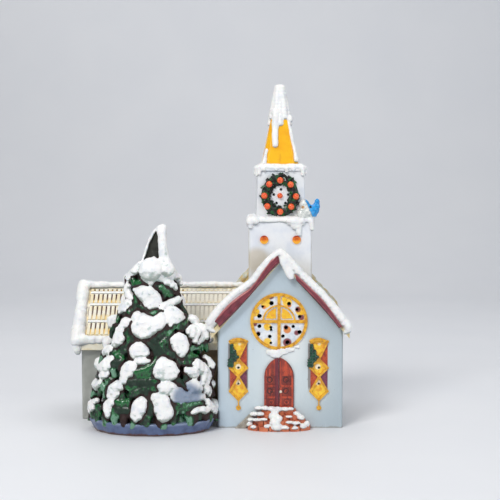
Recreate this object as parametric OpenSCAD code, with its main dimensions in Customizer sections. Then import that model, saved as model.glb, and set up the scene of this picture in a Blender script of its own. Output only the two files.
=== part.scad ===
// Ceramic church with a steeple, a side wing and a snowy fir, lit by a clip-in lamp.
// Lengths are in millimetres. X runs right along the facade, Y to the back and Z up.
// The origin lies on the resting plane, under the steeple's axis.

/* [Front block] */
// Width of the gabled front block
block_w = 77.5; // [76:0.5:82]
// Depth of the front block, facade to back wall
block_d = 77.5; // [75:0.5:90]
// Height of the front block's side walls
block_wall_h = 60.5; // [58:0.5:64]
// Pitch of every roof in degrees
roof_pitch = 48; // [46:0.5:49]

/* [Wing] */
// Length of the wing beside the front block
wing_l = 88; // [84:0.5:100]
// How far the wing's front wall stands behind the facade
wing_setback = 24; // [22:0.5:26]
// Height of the wing's side walls
wing_wall_h = 49.5; // [47:0.5:51]

/* [Ceramic shell] */
// Thickness of the walls
wall = 4; // [3:0.25:4.5]
// Thickness of the floor
floor_t = 4; // [3:0.25:5]
// Thickness of the roofs
roof_t = 3; // [2.5:0.25:3.5]
// Radius of the upright corners
corner_r = 2; // [1:0.25:2.5]
// Reach of the eaves past the walls
eave_out = 3.7; // [3:0.1:4.5]
// Reach of the front block's roof past its gables
rake_out = 3; // [2:0.25:4]
// Reach of the wing's roof past its gable
wing_rake_out = 4.5; // [3:0.25:6]

/* [Steeple] */
// Width of the square tower
tower_w = 39.3; // [38:0.1:40]
// Distance of the tower's front behind the facade
tower_set = 5; // [4.75:0.25:6]
// Height of the tower's top
tower_top = 128; // [124:0.5:134]
// Width of the belfry at its foot
belfry_w = 31; // [30:0.25:32]
// Width of the belfry at its top
belfry_top_w = 28.5; // [28:0.25:29.5]
// Height of the belfry
belfry_h = 31; // [30:0.5:34]
// Width of the spire at its foot
spire_w = 23.6; // [22:0.1:25]
// Height of the spire
spire_h = 51; // [46:0.5:60]
// Turn of the belfry and the spire on the tower, in degrees
steeple_turn = 2; // [0:0.5:3]

/* [Facade] */
// Diameter of the rose window
rose_d = 35.3; // [32:0.1:37]
// Height of the rose window's centre
rose_z = 66.6; // [66:0.1:68]
// Width of each stained window
window_w = 10.5; // [9.5:0.1:11]
// Height of each stained window
window_h = 36.5; // [34:0.5:37]
// Height of the stained windows' lower tips
window_z = 17.7; // [17:0.1:18.5]
// Width of the pair of doors
door_w = 18.3; // [17:0.1:19]
// Height of the doors above their sill
door_h = 32; // [30:0.5:33]
// Height of the door sill
door_sill = 12.4; // [11:0.1:13]

/* [Fir] */
// Width of the fir's base
fir_w = 79.5; // [74:0.5:80]
// Depth of the fir's base
fir_d = 49; // [46:0.5:49]
// Height of the fir's tip
fir_h = 126; // [120:0.5:132]
// Thickness of the fir's base
fir_base_h = 7.4; // [6:0.1:8]

/* [Lamp] */
// Diameter of the lamp hole in the back wall
lamp_hole_d = 27; // [26:0.1:28]
// Height of the lamp's axis
lamp_z = 22; // [21:0.25:24]
// Diameter of the lamp's glass
bulb_d = 21; // [20:0.25:21.5]
// Length of the lamp's glass, where the room is deep enough for it
bulb_l = 38; // [34:0.5:39]

/* [Hidden] */

overrun = 0.5;   // how far every cut runs past the faces that it cuts
snow_fn = 8;     // sides of the balls that the snow is built from
round_fn = 64;   // sides of true round shapes

// roofs
slope = tan(roof_pitch);
roof_rise = roof_t / cos(roof_pitch);
front_y = -(tower_set + tower_w / 2);
back_y = front_y + block_d;
block_half = block_w / 2;
block_peak = block_wall_h + block_half * slope;
block_run = block_half + eave_out;
block_top = block_peak + roof_rise;
wing_right = -block_half;
wing_left = wing_right - wing_l;
wing_front_y = front_y + wing_setback;
wing_d = back_y - wing_front_y;
wing_half = wing_d / 2;
wing_mid_y = wing_front_y + wing_half;
wing_peak = wing_wall_h + wing_half * slope;
wing_run = wing_half + eave_out;
wing_top = wing_peak + roof_rise;
wing_roof_left = wing_left - wing_rake_out;
block_roof_front = front_y - rake_out;
block_roof_back = back_y + rake_out;
block_slope_l = block_run / cos(roof_pitch);
wing_slope_l = wing_run / cos(roof_pitch);

// shingles
slat_pitch = 2.9;
slat_w = 1.9;
slat_t = 0.9;
slat_root = 0.2;    // web between the slats, over the roof's face
slat_embed = 0.6;   // how deep a course sits in the roof
course_tilt = 1.5;  // degrees that a course leans out of the roof
course_shares = [[0.08, 0.12], [0.17, 0.33], [0.38, 0.62], [0.67, 0.87]];
band_shares = [0.145, 0.355, 0.645];
band_w = 1.6;
band_t = 1.1;
field_margin = 8;   // plain border of the shingle field, under the snow
tower_margin = 1.2;  // plain strip round the tower
valley_gap = 3;      // plain strip on each side of the valley between the two roofs
valley_x = -(block_top - wing_top) / slope;

// boards under the front gable's snow
board_h = 5.8;
board_t = 1.2;
board_slack = 0.3;

// rose window
rose_x = -0.9;
rose_r = rose_d / 2;
pane_t = 1.2;       // thickness of every pane, flush with the wall
lead_t = 0.9;       // how far the tracery and the leading stand out
tracery_w = 1.9;
rose_arch_share = 0.58;
// x, z and radius of each hole in the rose, as shares of its radius
rose_hole_shares = [
    [-0.26, 0.64, 0.08], [-0.57, 0.52, 0.05], [-0.68, 0.19, 0.08], [0.35, 0.62, 0.07],
    [0.63, 0.42, 0.055], [0.72, 0.17, 0.06], [-0.68, -0.17, 0.07], [-0.72, -0.45, 0.075],
    [-0.28, -0.21, 0.055], [-0.27, -0.3, 0.05], [-0.32, -0.53, 0.065], [-0.28, -0.76, 0.05],
    [0.25, -0.22, 0.07], [0.5, -0.18, 0.06], [0.72, -0.38, 0.075], [0.14, -0.52, 0.065],
    [0.3, -0.74, 0.08]
];
// x, z and radius of each small amber pane
rose_amber_shares = [[-0.4, 0.74, 0.09], [-0.75, 0.36, 0.07], [0.18, 0.78, 0.085], [0.8, 0.29, 0.06], [-0.45, -0.16, 0.07]];

// stained windows; their outline and leading lie on these shares of width and height
window_left_x = -25.9;
window_right_x = 23.9;
side_window_y_shares = [0.3, 0.7];
lead_w = 1.3;
bead_share = 0.63;  // radius of a bead as a share of the leading's width
hole_dot_r = 0.8;
hole_wedge_r = 1.1;
cap_share = 1;
shoulder_share = 0.15;
upper_knot_share = 0.7;
upper_side_share = 0.55;
lower_knot_share = 0.4;
drop_l = 4.2;
drop_w = 0.7;
drop_ball_r = 1.5;

// doors
door_x = -0.8;
door_t = 2.2;
door_sink = 1;
door_gap = 0.5;
door_arch_share = 0.62;
panel_sink = 0.5;
panel_margin = 1.5;
panel_gap = 1.3;
// lower and upper edge of each carved panel, as shares of the door's height
panel_shares = [[0.05, 0.2], [0.24, 0.42], [0.46, 0.64]];
ring_r = 1.5;
ring_w = 0.6;
knob_r = 0.9;
knob_share = 0.33;
hood_r = 2.4;
hood_drop = 3.4;

// steps
steps_x = -0.9;
steps_w = 38.4;
steps_top_w = 21;
steps_d = 10;
steps_top_d = 4;
step_count = 4;
riser_gap = 0.12;        // clearance between the snow on a step and the round riser behind it
joint_w = 0.6;
joint_sink = 0.7;
brick_pitch = 6.4;
kerb_x = -15.2;
kerb_w = 13;
kerb_h = 10.5;
kerb_t = 1.5;
// x and z of the kerb's corners, as shares of its width and height
kerb_shares = [[-1, 0], [-0.48, 0], [-0.04, 0.95], [-0.18, 1]];

// steeple
tower_foot = block_top - (tower_w / 2 + overrun) * slope - roof_rise - overrun;
steeple_wall = 3;
roundel_x = 10;
roundel_z = 116.7;
roundel_r = 2.6;
roundel_sink = 1;
cornice_w = 30.4;
cornice_h = 2;
belfry_top = tower_top + belfry_h;
cornice_top = belfry_top + cornice_h;
spire_tip_w = 3.4;
spire_chamfer_share = 0.145;
spire_top = cornice_top + spire_h;

// snow; drifts swell and shrink by a share along their length
swell_share = 0.2;
drift_sides = 6;
drift_stretch = 6;      // length between two rings of a drift
rake_snow_w = 7.6;
rake_snow_h = 4.6;
rake_snow_lip = 1.9;
ridge_snow_w = 3.6;
ridge_snow_h = 2.4;
eave_snow_w = 5;
eave_snow_h = 2.6;
drift_end_share = 0.6;  // how far a drift narrows at its ends
drift_gap = 0.3;        // clearance between neighbouring drifts
ledge_out = 1.4;        // how far snow hangs past the tower's edge
ledge_snow_h = 3.8;
ledge_drip_l = 7.4;
ledge_drip_r = 1.9;
cornice_snow_h = 3.2;
cornice_snow_out = 0.9;
hip_r = 1.2;
cap_snow_l = 20;
cap_snow_r = 2.5;
cap_drip_l = 17;
peak_drip_l = 11;

// wreath, centred on the belfry's front
wreath_rise_share = 0.484;
wreath_z = tower_top + wreath_rise_share * belfry_h;
wreath_r = 9.9;
wreath_band_r = 3.4;
wreath_depth = 2.2;
berry_count = 8;
berry_r = 2.2;
centre_berry_r = 1.6;
wreath_hole_ring_r = 4.7;
wreath_hole_r = 0.85;
wreath_hole_count = 5;

// bird on the ledge's front right corner
bird_x = 18;
bird_y = -16.2;
bird_z = 133.2;
bird_turn = 12;
bird_body_r = 4.9;
bird_long_share = 1.16;
bird_head_r = 3.2;
bird_head_x = -1.8;
bird_head_z = 5.4;
bird_tail_x = 4.8;
bird_tail_z = 8.4;
bird_tail_r = 1.1;
bird_tail_l = 9;
bird_tail_lean = -24;
bird_beak_l = 2.6;
bird_beak_r = 0.9;
bird_split = 25;    // lean of the line between breast and back
bird_split_z = 1;
bird_sink = 0.3;

// fir
fir_gap = 0.2;      // clearance between the fir and the walls
fir_x = wing_right - fir_gap - fir_w / 2;
fir_y = wing_front_y - fir_gap - fir_d / 2;
fir_flat_share = fir_d / fir_w;
fir_sides = 6;
fir_wave_share = 0.04;
fir_base_shares = [0.88, 0.93, 0.97, 0.99, 1];
// height, radius and thickness of each tier of boughs as shares of the fir's size
fir_tier_shares = [[0.115, 0.86, 0.13], [0.23, 0.79, 0.13], [0.34, 0.71, 0.125], [0.45, 0.58, 0.12],
    [0.555, 0.44, 0.115], [0.65, 0.33, 0.105], [0.735, 0.23, 0.095], [0.815, 0.13, 0.08]];
fir_bough_counts = [11, 10, 9, 8, 7, 5, 4, 3];
fir_stem_share = 0.55;  // radius of the stem inside the boughs
fir_droop = 5;          // how far a bough's end hangs
fir_tip_r = 3.4;
fir_tip_lean = 3;
fir_snow_out = 1.6;     // how far a clump of snow sits out on its bough
fir_snow_up = 2.8;      // and above it

// lamp, seated in the back wall with its glass to the front
lamp_hole_r = lamp_hole_d / 2;
flange_lip = 2.8;   // reach of the flange past the hole
flange_r = lamp_hole_r + flange_lip;
flange_t = 2.6;
flange_gap = 0.2;
socket_r = 9.6;
socket_l = 25;
socket_floor = 8;
shell_r = 6.6;
shell_t = 0.5;
shell_l = 14;
contact_r = 4.4;
contact_gap = 0.3;
cap_fit = 0.3;
cap_l = 13;
thread_count = 5;
thread_h = 0.35;
insulator_l = 2.6;
tip_l = 1.4;
tip_r = 2.2;
glass_t = 0.6;
neck_l = 6;
// distance from the neck and radius along the glass, as shares of its length and radius
glass_shares = [[0, 0.5], [0.06, 0.54], [0.14, 0.7], [0.24, 0.87], [0.36, 0.98], [0.46, 1],
    [0.58, 0.95], [0.7, 0.82], [0.82, 0.62], [0.91, 0.4], [0.97, 0.19]];
stem_r = 1.7;
stem_l = 10;
wire_r = 0.25;
wire_l = 7;
filament_w = 6.4;
cord_r = 2.25;
spring_w = 5;
spring_t = 0.5;
spring_gap = 0.85;
spring_foot = 3;
vent_r = 4;
vent_y = -8;
socket_front = back_y - socket_l;
bulb_seat = socket_front - 1;
bulb_gap = 4;       // least clearance between the glass and the facade's wall
glass_l = min(bulb_l, bulb_seat - front_y - wall - bulb_gap);
cap_root_r = shell_r - cap_fit - thread_h;
cap_end = bulb_seat + cap_l;
tip_end = cap_end + insulator_l + tip_l;
neck_r = cap_root_r - shell_t;

// Turns a flat shape in X and Z into a solid between two depths
module along_y(y0, y1) {
    translate([0, y1, 0])
        rotate([90, 0, 0])
            linear_extrude(y1 - y0)
                children();
}

// Turns a flat shape in Y and Z into a solid between two stations on X
module along_x(x0, x1) {
    translate([x0, 0, 0])
        rotate([90, 0, 90])
            linear_extrude(x1 - x0)
                children();
}

module rounded_rect(w, d, r) {
    square([w - 2 * r, d], center = true);
    square([w, d - 2 * r], center = true);
    for (x = [-1, 1], y = [-1, 1])
        translate([x * (w / 2 - r), y * (d / 2 - r)])
            circle(r, $fn = round_fn);
}

// Cross-section of a gabled house up to the underside of its roof
module gable_2d(half, wall_h) {
    polygon([[-half, 0], [half, 0], [half, wall_h], [0, wall_h + half * slope], [-half, wall_h]]);
}

// Cross-section of one roof slope, on the right of a ridge at 0
module slope_2d(run, peak, thick) {
    polygon([[0, peak], [run, peak - run * slope], [run, peak - run * slope + thick], [0, peak + thick]]);
}

// Square block whose faces lean in from w0 at its foot to w1 at its top
module frustum(w0, w1, h) {
    intersection() {
        along_y(-w0 / 2, w0 / 2)
            polygon([[-w0 / 2, 0], [w0 / 2, 0], [w1 / 2, h], [-w1 / 2, h]]);
        along_x(-w0 / 2, w0 / 2)
            polygon([[-w0 / 2, 0], [w0 / 2, 0], [w1 / 2, h], [-w1 / 2, h]]);
    }
}

// Snow or clay rolled along a line; each entry holds a place and a radius
module rolled(line, sides = snow_fn) {
    for (i = [0 : len(line) - 2])
        hull() {
            translate([line[i][0], line[i][1], line[i][2]])
                sphere(line[i][3], $fn = sides);
            translate([line[i + 1][0], line[i + 1][1], line[i + 1][2]])
                sphere(line[i + 1][3], $fn = sides);
        }
}

// Stands its children on a slope: X along the ridge, -Y down the slope and Z out of it
module on_slope(top, turn) {
    translate(top)
        rotate([0, 0, turn])
            rotate([roof_pitch, 0, 0])
                children();
}

module comb_2d(width) {
    count = floor(width / slat_pitch);
    polygon(concat(
        [[0, -slat_embed]],
        [for (i = [0 : count - 1]) each [
            [i * slat_pitch, slat_root], [i * slat_pitch, slat_t],
            [i * slat_pitch + slat_w, slat_t], [i * slat_pitch + slat_w, slat_root]
        ]],
        [[(count - 1) * slat_pitch + slat_w, -slat_embed]]
    ));
}

// Courses of upright slats between two places on the ridge
module shingles(x0, x1, slope_l) {
    for (course = course_shares)
        translate([x0, -course[0] * slope_l, 0])
            rotate([-course_tilt, 0, 0])
                along_y(-(course[1] - course[0]) * slope_l, 0)
                    comb_2d(x1 - x0);
}

// Low rolls of snow between the courses
module snow_bands(x0, x1, slope_l) {
    for (share = band_shares)
        translate([x0, -share * slope_l - band_w / 2, 0])
            cube([x1 - x0, band_w, band_t]);
}

// Whole solid outline of the front block with its roof
module block_outline_2d() {
    gable_2d(block_half, block_wall_h);
    slope_2d(block_run, block_peak, roof_rise);
    mirror([1, 0])
        slope_2d(block_run, block_peak, roof_rise);
}

module block_outline() {
    along_y(block_roof_front, block_roof_back)
        block_outline_2d();
}

module tower_plan() {
    rounded_rect(tower_w, tower_w, corner_r);
}

module lamp_axis() {
    translate([0, 0, lamp_z])
        rotate([-90, 0, 0])
            children();
}

module front_block() {
    color("aliceblue")
        difference() {
            intersection() {
                along_y(front_y, back_y)
                    gable_2d(block_half, block_wall_h);
                translate([0, (front_y + back_y) / 2, 0])
                    linear_extrude(block_top)
                        rounded_rect(block_w, block_d, corner_r);
            }
            translate([wall - block_half, front_y + wall, floor_t])
                cube([block_w - 2 * wall, block_d - 2 * wall, block_top]);
            wing_passage();
            translate([0, back_y - wall - overrun, 0])
                lamp_axis()
                    cylinder(wall + 2 * overrun, r = lamp_hole_r, $fn = round_fn);
            translate([0, vent_y, -overrun])
                cylinder(floor_t + 2 * overrun, r = vent_r, $fn = round_fn);
            on_facade(pane_t) rose_disc_2d();
            on_facade(wall + overrun) rose_holes_2d();
            for_windows(pane_t) window_outline_2d();
            for_windows(wall + overrun) window_holes_2d();
            on_facade(door_sink) door_arch_2d();
        }
}

// Opening in the block's left wall that lets the light into the wing
module wing_passage() {
    translate([-block_half - overrun, wing_front_y + wall, floor_t])
        cube([wall + 2 * overrun, wing_d - 2 * wall, wing_wall_h - floor_t]);
}

module wing() {
    color("gainsboro")
        difference() {
            intersection() {
                along_x(wing_left, wing_right)
                    translate([wing_mid_y, 0])
                        gable_2d(wing_half, wing_wall_h);
                translate([wing_left + wing_l / 2 + corner_r, wing_mid_y, 0])
                    linear_extrude(wing_top)
                        rounded_rect(wing_l + 2 * corner_r, wing_d, corner_r);
            }
            translate([wing_left + wall, wing_front_y + wall, floor_t])
                cube([wing_l, wing_d - 2 * wall, wing_top]);
            block_outline();
        }
}

// Upright prism over the block's side (1) or the wing's side (-1) of the valley and its plain strip
module valley_plan(side) {
    reach = block_w;
    tip = valley_x - side * valley_gap;
    translate([0, 0, wing_wall_h])
        linear_extrude(block_top)
            polygon(concat(
                [[tip, wing_mid_y], [tip - reach, wing_mid_y + reach]],
                side > 0 ? [[reach, wing_mid_y + reach], [reach, wing_mid_y - reach]] : [],
                [[tip - reach, wing_mid_y - reach]]
            ));
}

module block_roof(side) {
    difference() {
        union() {
            along_y(block_roof_front, block_roof_back)
                scale([side, 1])
                    slope_2d(block_run, block_peak, roof_rise);
            difference() {
                on_slope([0, 0, block_top], side * 90)
                    translate([side * (block_roof_front + block_roof_back) / 2, 0, 0])
                        shingles(field_margin - (block_d + 2 * rake_out) / 2,
                            (block_d + 2 * rake_out) / 2 - field_margin, block_slope_l);
                if (side < 0)
                    valley_plan(-1);
                translate([0, 0, block_wall_h])
                    linear_extrude(block_top)
                        rounded_rect(tower_w + 2 * tower_margin, tower_w + 2 * tower_margin, corner_r);
            }
        }
        translate([0, 0, block_wall_h])
            linear_extrude(block_top)
                tower_plan();
    }
}

module block_roof_left() {
    color("goldenrod")
        block_roof(-1);
}

module block_roof_right() {
    color("goldenrod")
        block_roof(1);
}

module wing_roof(side) {
    difference() {
        union() {
            along_x(wing_roof_left, -tower_w / 2)
                translate([wing_mid_y, 0])
                    scale([side, 1])
                        slope_2d(wing_run, wing_peak, roof_rise);
            difference() {
                on_slope([0, wing_mid_y, wing_top], side < 0 ? 0 : 180)
                    shingles(side < 0 ? wing_roof_left + field_margin : tower_w / 2,
                        side < 0 ? -tower_w / 2 : -wing_roof_left - field_margin, wing_slope_l);
                valley_plan(1);
            }
        }
        block_outline();
    }
}

module wing_roof_front() {
    color("cornsilk")
        wing_roof(-1);
}

module wing_roof_back() {
    color("cornsilk")
        wing_roof(1);
}

module rake_board(side) {
    color("brown")
        along_y(block_roof_front - board_t, block_roof_front)
            scale([side, 1])
                slope_2d(block_run - board_slack, block_top - board_h, board_h);
}

module rake_board_left() {
    rake_board(-1);
}

module rake_board_right() {
    rake_board(1);
}

// Shapes drawn on the facade, cut or raised by a thickness behind its face
module on_facade(depth, out = 0) {
    along_y(front_y - (out > 0 ? out : overrun), front_y + depth)
        children();
}

module rose_disc_2d() {
    translate([rose_x, rose_z])
        circle(rose_r - tracery_w / 2, $fn = round_fn);
}

module rose_spots_2d(spots) {
    for (spot = spots)
        translate([rose_x + spot[0] * rose_r, rose_z + spot[1] * rose_r])
            circle(spot[2] * rose_r, $fn = round_fn);
}

module rose_holes_2d() {
    rose_spots_2d(rose_hole_shares);
}

module rose_panes() {
    color("ghostwhite")
        along_y(front_y, front_y + pane_t)
            difference() {
                rose_disc_2d();
                rose_holes_2d();
            }
}

// Upper quarter panes and small panes of amber glaze
module rose_amber() {
    quarter_r = rose_arch_share * rose_r - tracery_w;
    color("gold")
        along_y(front_y - lead_t / 2, front_y)
            difference() {
                union() {
                    rose_spots_2d(rose_amber_shares);
                    for (side = [-1, 1])
                        translate([rose_x, rose_z])
                            intersection() {
                                circle(quarter_r, $fn = round_fn);
                                translate([side > 0 ? tracery_w : -tracery_w - quarter_r, tracery_w])
                                    square(quarter_r);
                            }
                }
                tracery_2d();
            }
}

module tracery_2d() {
    translate([rose_x, rose_z]) {
        difference() {
            circle(rose_r, $fn = round_fn);
            circle(rose_r - tracery_w, $fn = round_fn);
        }
        square([tracery_w, 2 * rose_r - tracery_w], center = true);
        square([2 * rose_r - tracery_w, tracery_w], center = true);
        intersection() {
            difference() {
                circle(rose_arch_share * rose_r, $fn = round_fn);
                circle(rose_arch_share * rose_r - tracery_w / 2, $fn = round_fn);
            }
            translate([-rose_r, 0])
                square([2 * rose_r, rose_r]);
        }
    }
}

module rose_tracery() {
    color("darkgoldenrod")
        along_y(front_y - lead_t, front_y)
            tracery_2d();
}

// One point of a stained window, from shares of its width and height
function window_point(x_share, z_share) = [x_share * window_w / 2, z_share * window_h];

module window_outline_2d() {
    polygon([window_point(-1, cap_share), window_point(1, cap_share), window_point(1, shoulder_share),
        window_point(0, 0), window_point(-1, shoulder_share)]);
}

// A cut or raised shape at both facade windows and at the right wall's windows
module for_windows(depth, out = 0) {
    for (x = [window_left_x, window_right_x])
        on_facade(depth, out)
            translate([x, window_z])
                children();
    for (share = side_window_y_shares)
        along_x(block_half - depth, block_half + (out > 0 ? out : overrun))
            translate([front_y + share * block_d, window_z])
                children();
}

module window_holes_2d() {
    translate(window_point(0, (upper_knot_share + lower_knot_share) / 2))
        circle(hole_dot_r, $fn = round_fn);
    translate(window_point(0, (lower_knot_share + shoulder_share) / 2))
        rotate(90)
            circle(hole_wedge_r, $fn = 3);
}

module bar_2d(a, b, w) {
    translate(a)
        rotate(atan2(b[1] - a[1], b[0] - a[0]))
            translate([0, -w / 2])
                square([norm(b - a), w]);
}

module leading_2d() {
    for (side = [-1, 1]) {
        bar_2d(window_point(side, cap_share), window_point(0, upper_knot_share), lead_w);
        bar_2d(window_point(0, upper_knot_share), window_point(side, upper_side_share), lead_w);
        bar_2d(window_point(side, upper_side_share), window_point(0, lower_knot_share), lead_w);
        bar_2d(window_point(0, lower_knot_share), window_point(side, shoulder_share), lead_w);
        bar_2d(window_point(side, shoulder_share), window_point(0, 0), lead_w);
    }
    bar_2d(window_point(-1, cap_share), window_point(1, cap_share), lead_w);
    bar_2d(window_point(0, 0), window_point(0, -drop_l / window_h), drop_w);
    // beads over the knots
    for (knot = [[-1, cap_share], [1, cap_share], [0, upper_knot_share], [-1, upper_side_share],
            [1, upper_side_share], [0, lower_knot_share], [-1, shoulder_share], [1, shoulder_share], [0, 0]])
        translate(window_point(knot[0], knot[1]))
            circle(lead_w * bead_share, $fn = round_fn);
    translate([0, -drop_l - drop_ball_r / 2])
        circle(drop_ball_r, $fn = round_fn);
}

module window_leading() {
    color("goldenrod")
        for_windows(0, lead_t) leading_2d();
}

module for_glass() {
    for (x = [window_left_x, window_right_x])
        along_y(front_y, front_y + pane_t)
            translate([x, window_z])
                children();
    for (share = side_window_y_shares)
        along_x(block_half - pane_t, block_half)
            translate([front_y + share * block_d, window_z])
                children();
}

module window_amber() {
    color("gold")
        for_glass()
            difference() {
                union() {
                    polygon([window_point(-1, cap_share), window_point(1, cap_share),
                        window_point(0, upper_knot_share)]);
                    polygon([window_point(0, upper_knot_share), window_point(1, upper_side_share),
                        window_point(0, lower_knot_share), window_point(-1, upper_side_share)]);
                    polygon([window_point(0, lower_knot_share), window_point(1, shoulder_share),
                        window_point(0, 0), window_point(-1, shoulder_share)]);
                }
                window_holes_2d();
            }
}

module window_green() {
    color("darkgreen")
        for_glass()
            polygon([window_point(-1, cap_share), window_point(0, upper_knot_share),
                window_point(-1, upper_side_share)]);
}

module window_red() {
    color("firebrick")
        for_glass() {
            polygon([window_point(1, cap_share), window_point(0, upper_knot_share),
                window_point(1, upper_side_share)]);
            polygon([window_point(-1, upper_side_share), window_point(0, lower_knot_share),
                window_point(-1, shoulder_share)]);
        }
}

module window_plum() {
    color("purple")
        for_glass()
            polygon([window_point(1, upper_side_share), window_point(0, lower_knot_share),
                window_point(1, shoulder_share)]);
}

// Outline of an opening with upright sides and a pointed head
module lancet_2d(w, h, spring) {
    rise = h - spring;
    arc_r = (rise * rise + w * w / 4) / w;
    translate([-w / 2, 0])
        square([w, spring]);
    intersection() {
        translate([arc_r - w / 2, spring])
            circle(arc_r, $fn = round_fn);
        translate([w / 2 - arc_r, spring])
            circle(arc_r, $fn = round_fn);
        translate([-w / 2, 0])
            square([w, h]);
    }
}

module door_arch_2d() {
    translate([door_x, door_sill])
        lancet_2d(door_w, door_h, door_arch_share * door_h);
}

module door_body(out) {
    along_y(front_y + door_sink - door_t - out, front_y + door_sink)
        door_arch_2d();
}

// One leaf with three sunk panels, each with a raised ring
module door_leaf(side) {
    leaf_w = (door_w - door_gap) / 2;
    mid = door_x + side * (door_gap + leaf_w) / 2;
    face_y = front_y + door_sink - door_t;
    difference() {
        intersection() {
            door_body(0);
            translate([mid - leaf_w / 2, face_y, 0])
                cube([leaf_w, door_t, door_sill + door_h]);
        }
        for (share = panel_shares)
            translate([mid, 0, door_sill + (share[0] + share[1]) / 2 * door_h])
                difference() {
                    along_y(face_y - overrun, face_y + panel_sink)
                        square([leaf_w - 2 * panel_margin, (share[1] - share[0]) * door_h], center = true);
                    along_y(face_y - overrun, face_y + panel_sink + overrun)
                        difference() {
                            circle(ring_r, $fn = round_fn);
                            circle(ring_r - ring_w, $fn = round_fn);
                        }
                }
    }
}

module door_left() {
    color("sienna")
        door_leaf(-1);
}

module door_right() {
    color("sienna")
        door_leaf(1);
}

module door_knob() {
    color("ivory")
        translate([door_x + (door_gap + panel_margin) / 2, front_y + door_sink - door_t, door_sill + knob_share * door_h])
            intersection() {
                sphere(knob_r, $fn = round_fn);
                translate([-knob_r, -knob_r, -knob_r])
                    cube([2 * knob_r, knob_r, 2 * knob_r]);
            }
}

// Swell of a drift at its ring i, one of three waves out of step
function swell(i, wave) = 1 + swell_share * sin((97 + 34 * wave) * i + 60 * wave);

// Ring of a drift: a low dome over a foot that falls away to both sides
function drift_ring(x, w_left, w_right, h, fall) = concat(
    [[x, 0, 0]],
    [for (i = [0 : drift_sides])
        let (a = 180 * i / drift_sides, y = cos(a) * (a < 90 ? w_left : w_right))
            [x, y, h * sin(a) - abs(y) * fall]]
);

// Closed skin over rings that follow one another along X
module skin(rings) {
    count = len(rings) - 1;
    ring = drift_sides + 2;
    polyhedron([for (r = rings) each r], concat(
        [for (i = [0 : count - 1], j = [0 : ring - 1]) each
            let (a = i * ring + j, b = i * ring + (j + 1) % ring)
                [[a, a + ring, b + ring], [a, b + ring, b]]],
        [for (j = [1 : ring - 2]) [0, j, j + 1]],
        [for (j = [1 : ring - 2]) [count * ring, count * ring + j + 1, count * ring + j]]
    ));
}

// Drift of snow along X, on a flat foot or astride a ridge of the given fall
module drift(l, w, h, fall = 0) {
    count = max(3, round(l / drift_stretch));
    skin([for (i = [0 : count])
        let (end = (i == 0 || i == count) ? drift_end_share : 1)
            drift_ring(l * i / count, w / 2 * end * swell(i, 0), w / 2 * end * swell(i, 1), h * end * swell(i, 2), fall)]);
}

// Drift over both slopes of a gable, from one eave over the ridge at 0 to the other
module rake_drift(run, w, h) {
    count = 2 * round(run / cos(roof_pitch) / drift_stretch);
    skin([for (i = [0 : count])
        let (
            x = run * (2 * i / count - 1),
            tilt = sign(x) * roof_pitch,
            end = (i == 0 || i == count) ? drift_end_share : 1,
            ring = drift_ring(0, w / 2 * end * swell(i, 0), w / 2 * end * swell(i, 1), h * end * swell(i, 2), 0)
        )
            [for (p = ring) [x + p[2] * sin(tilt), p[1], p[2] * cos(tilt) - abs(x) * slope]]]);
}

// Four drifts round a square, from its inner to its outer width
module drift_ring_round(inner, outer, h) {
    for (i = [0 : 3])
        rotate([0, 0, 90 * i])
            translate([-outer / 2, -(inner + outer) / 4, 0])
                drift(outer, (outer - inner) / 2, h);
}

// Drift along the lower edge of a slope, on one side of a ridge along Y
module eave_drift(side, slope_l, x0, x1) {
    on_slope([0, 0, 0], side * 90)
        translate([side > 0 ? x0 : -x1, eave_snow_w / 2 - slope_l, 0])
            drift(x1 - x0, eave_snow_w, eave_snow_h);
}

module block_snow() {
    front_place = block_roof_front - rake_snow_lip + rake_snow_w / 2;
    back_place = block_roof_back + rake_snow_lip - rake_snow_w / 2;
    clear = rake_snow_w / 2 * (1 + swell_share) + drift_gap;
    board_y = block_roof_front - board_t;
    color("white") {
        translate([0, 0, block_top]) {
            for (place = [front_place, back_place])
                translate([0, place, 0])
                    rake_drift(block_run + rake_snow_lip, rake_snow_w, rake_snow_h);
            eave_drift(1, block_slope_l, front_place + clear, back_place - clear);
            eave_drift(-1, block_slope_l, front_place + clear, wing_front_y - eave_out);
            translate([0, tower_w / 2, 0])
                rotate([0, 0, 90])
                    drift(back_place - clear - tower_w / 2, ridge_snow_w, ridge_snow_h, slope);
        }
        // drip over the right board, under the peak
        intersection() {
            rolled([
                [0, board_y, block_top + rake_snow_lip, rake_snow_lip * 1.3],
                [peak_drip_l / 3, board_y, block_top - peak_drip_l / 3 * slope, rake_snow_lip * 1.1],
                [peak_drip_l * 0.6, board_y, block_top - peak_drip_l * slope, rake_snow_lip * 0.7]
            ]);
            translate([-block_half, board_y - rake_snow_w, block_wall_h])
                cube([block_w, rake_snow_w, block_top]);
        }
    }
}

// Solid outline of the wing with its roof
module wing_roof_outline() {
    along_x(wing_roof_left, -tower_w / 2)
        translate([wing_mid_y, 0]) {
            gable_2d(wing_half, wing_wall_h);
            for (side = [-1, 1])
                scale([side, 1])
                    slope_2d(wing_run, wing_peak, roof_rise);
        }
}

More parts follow.
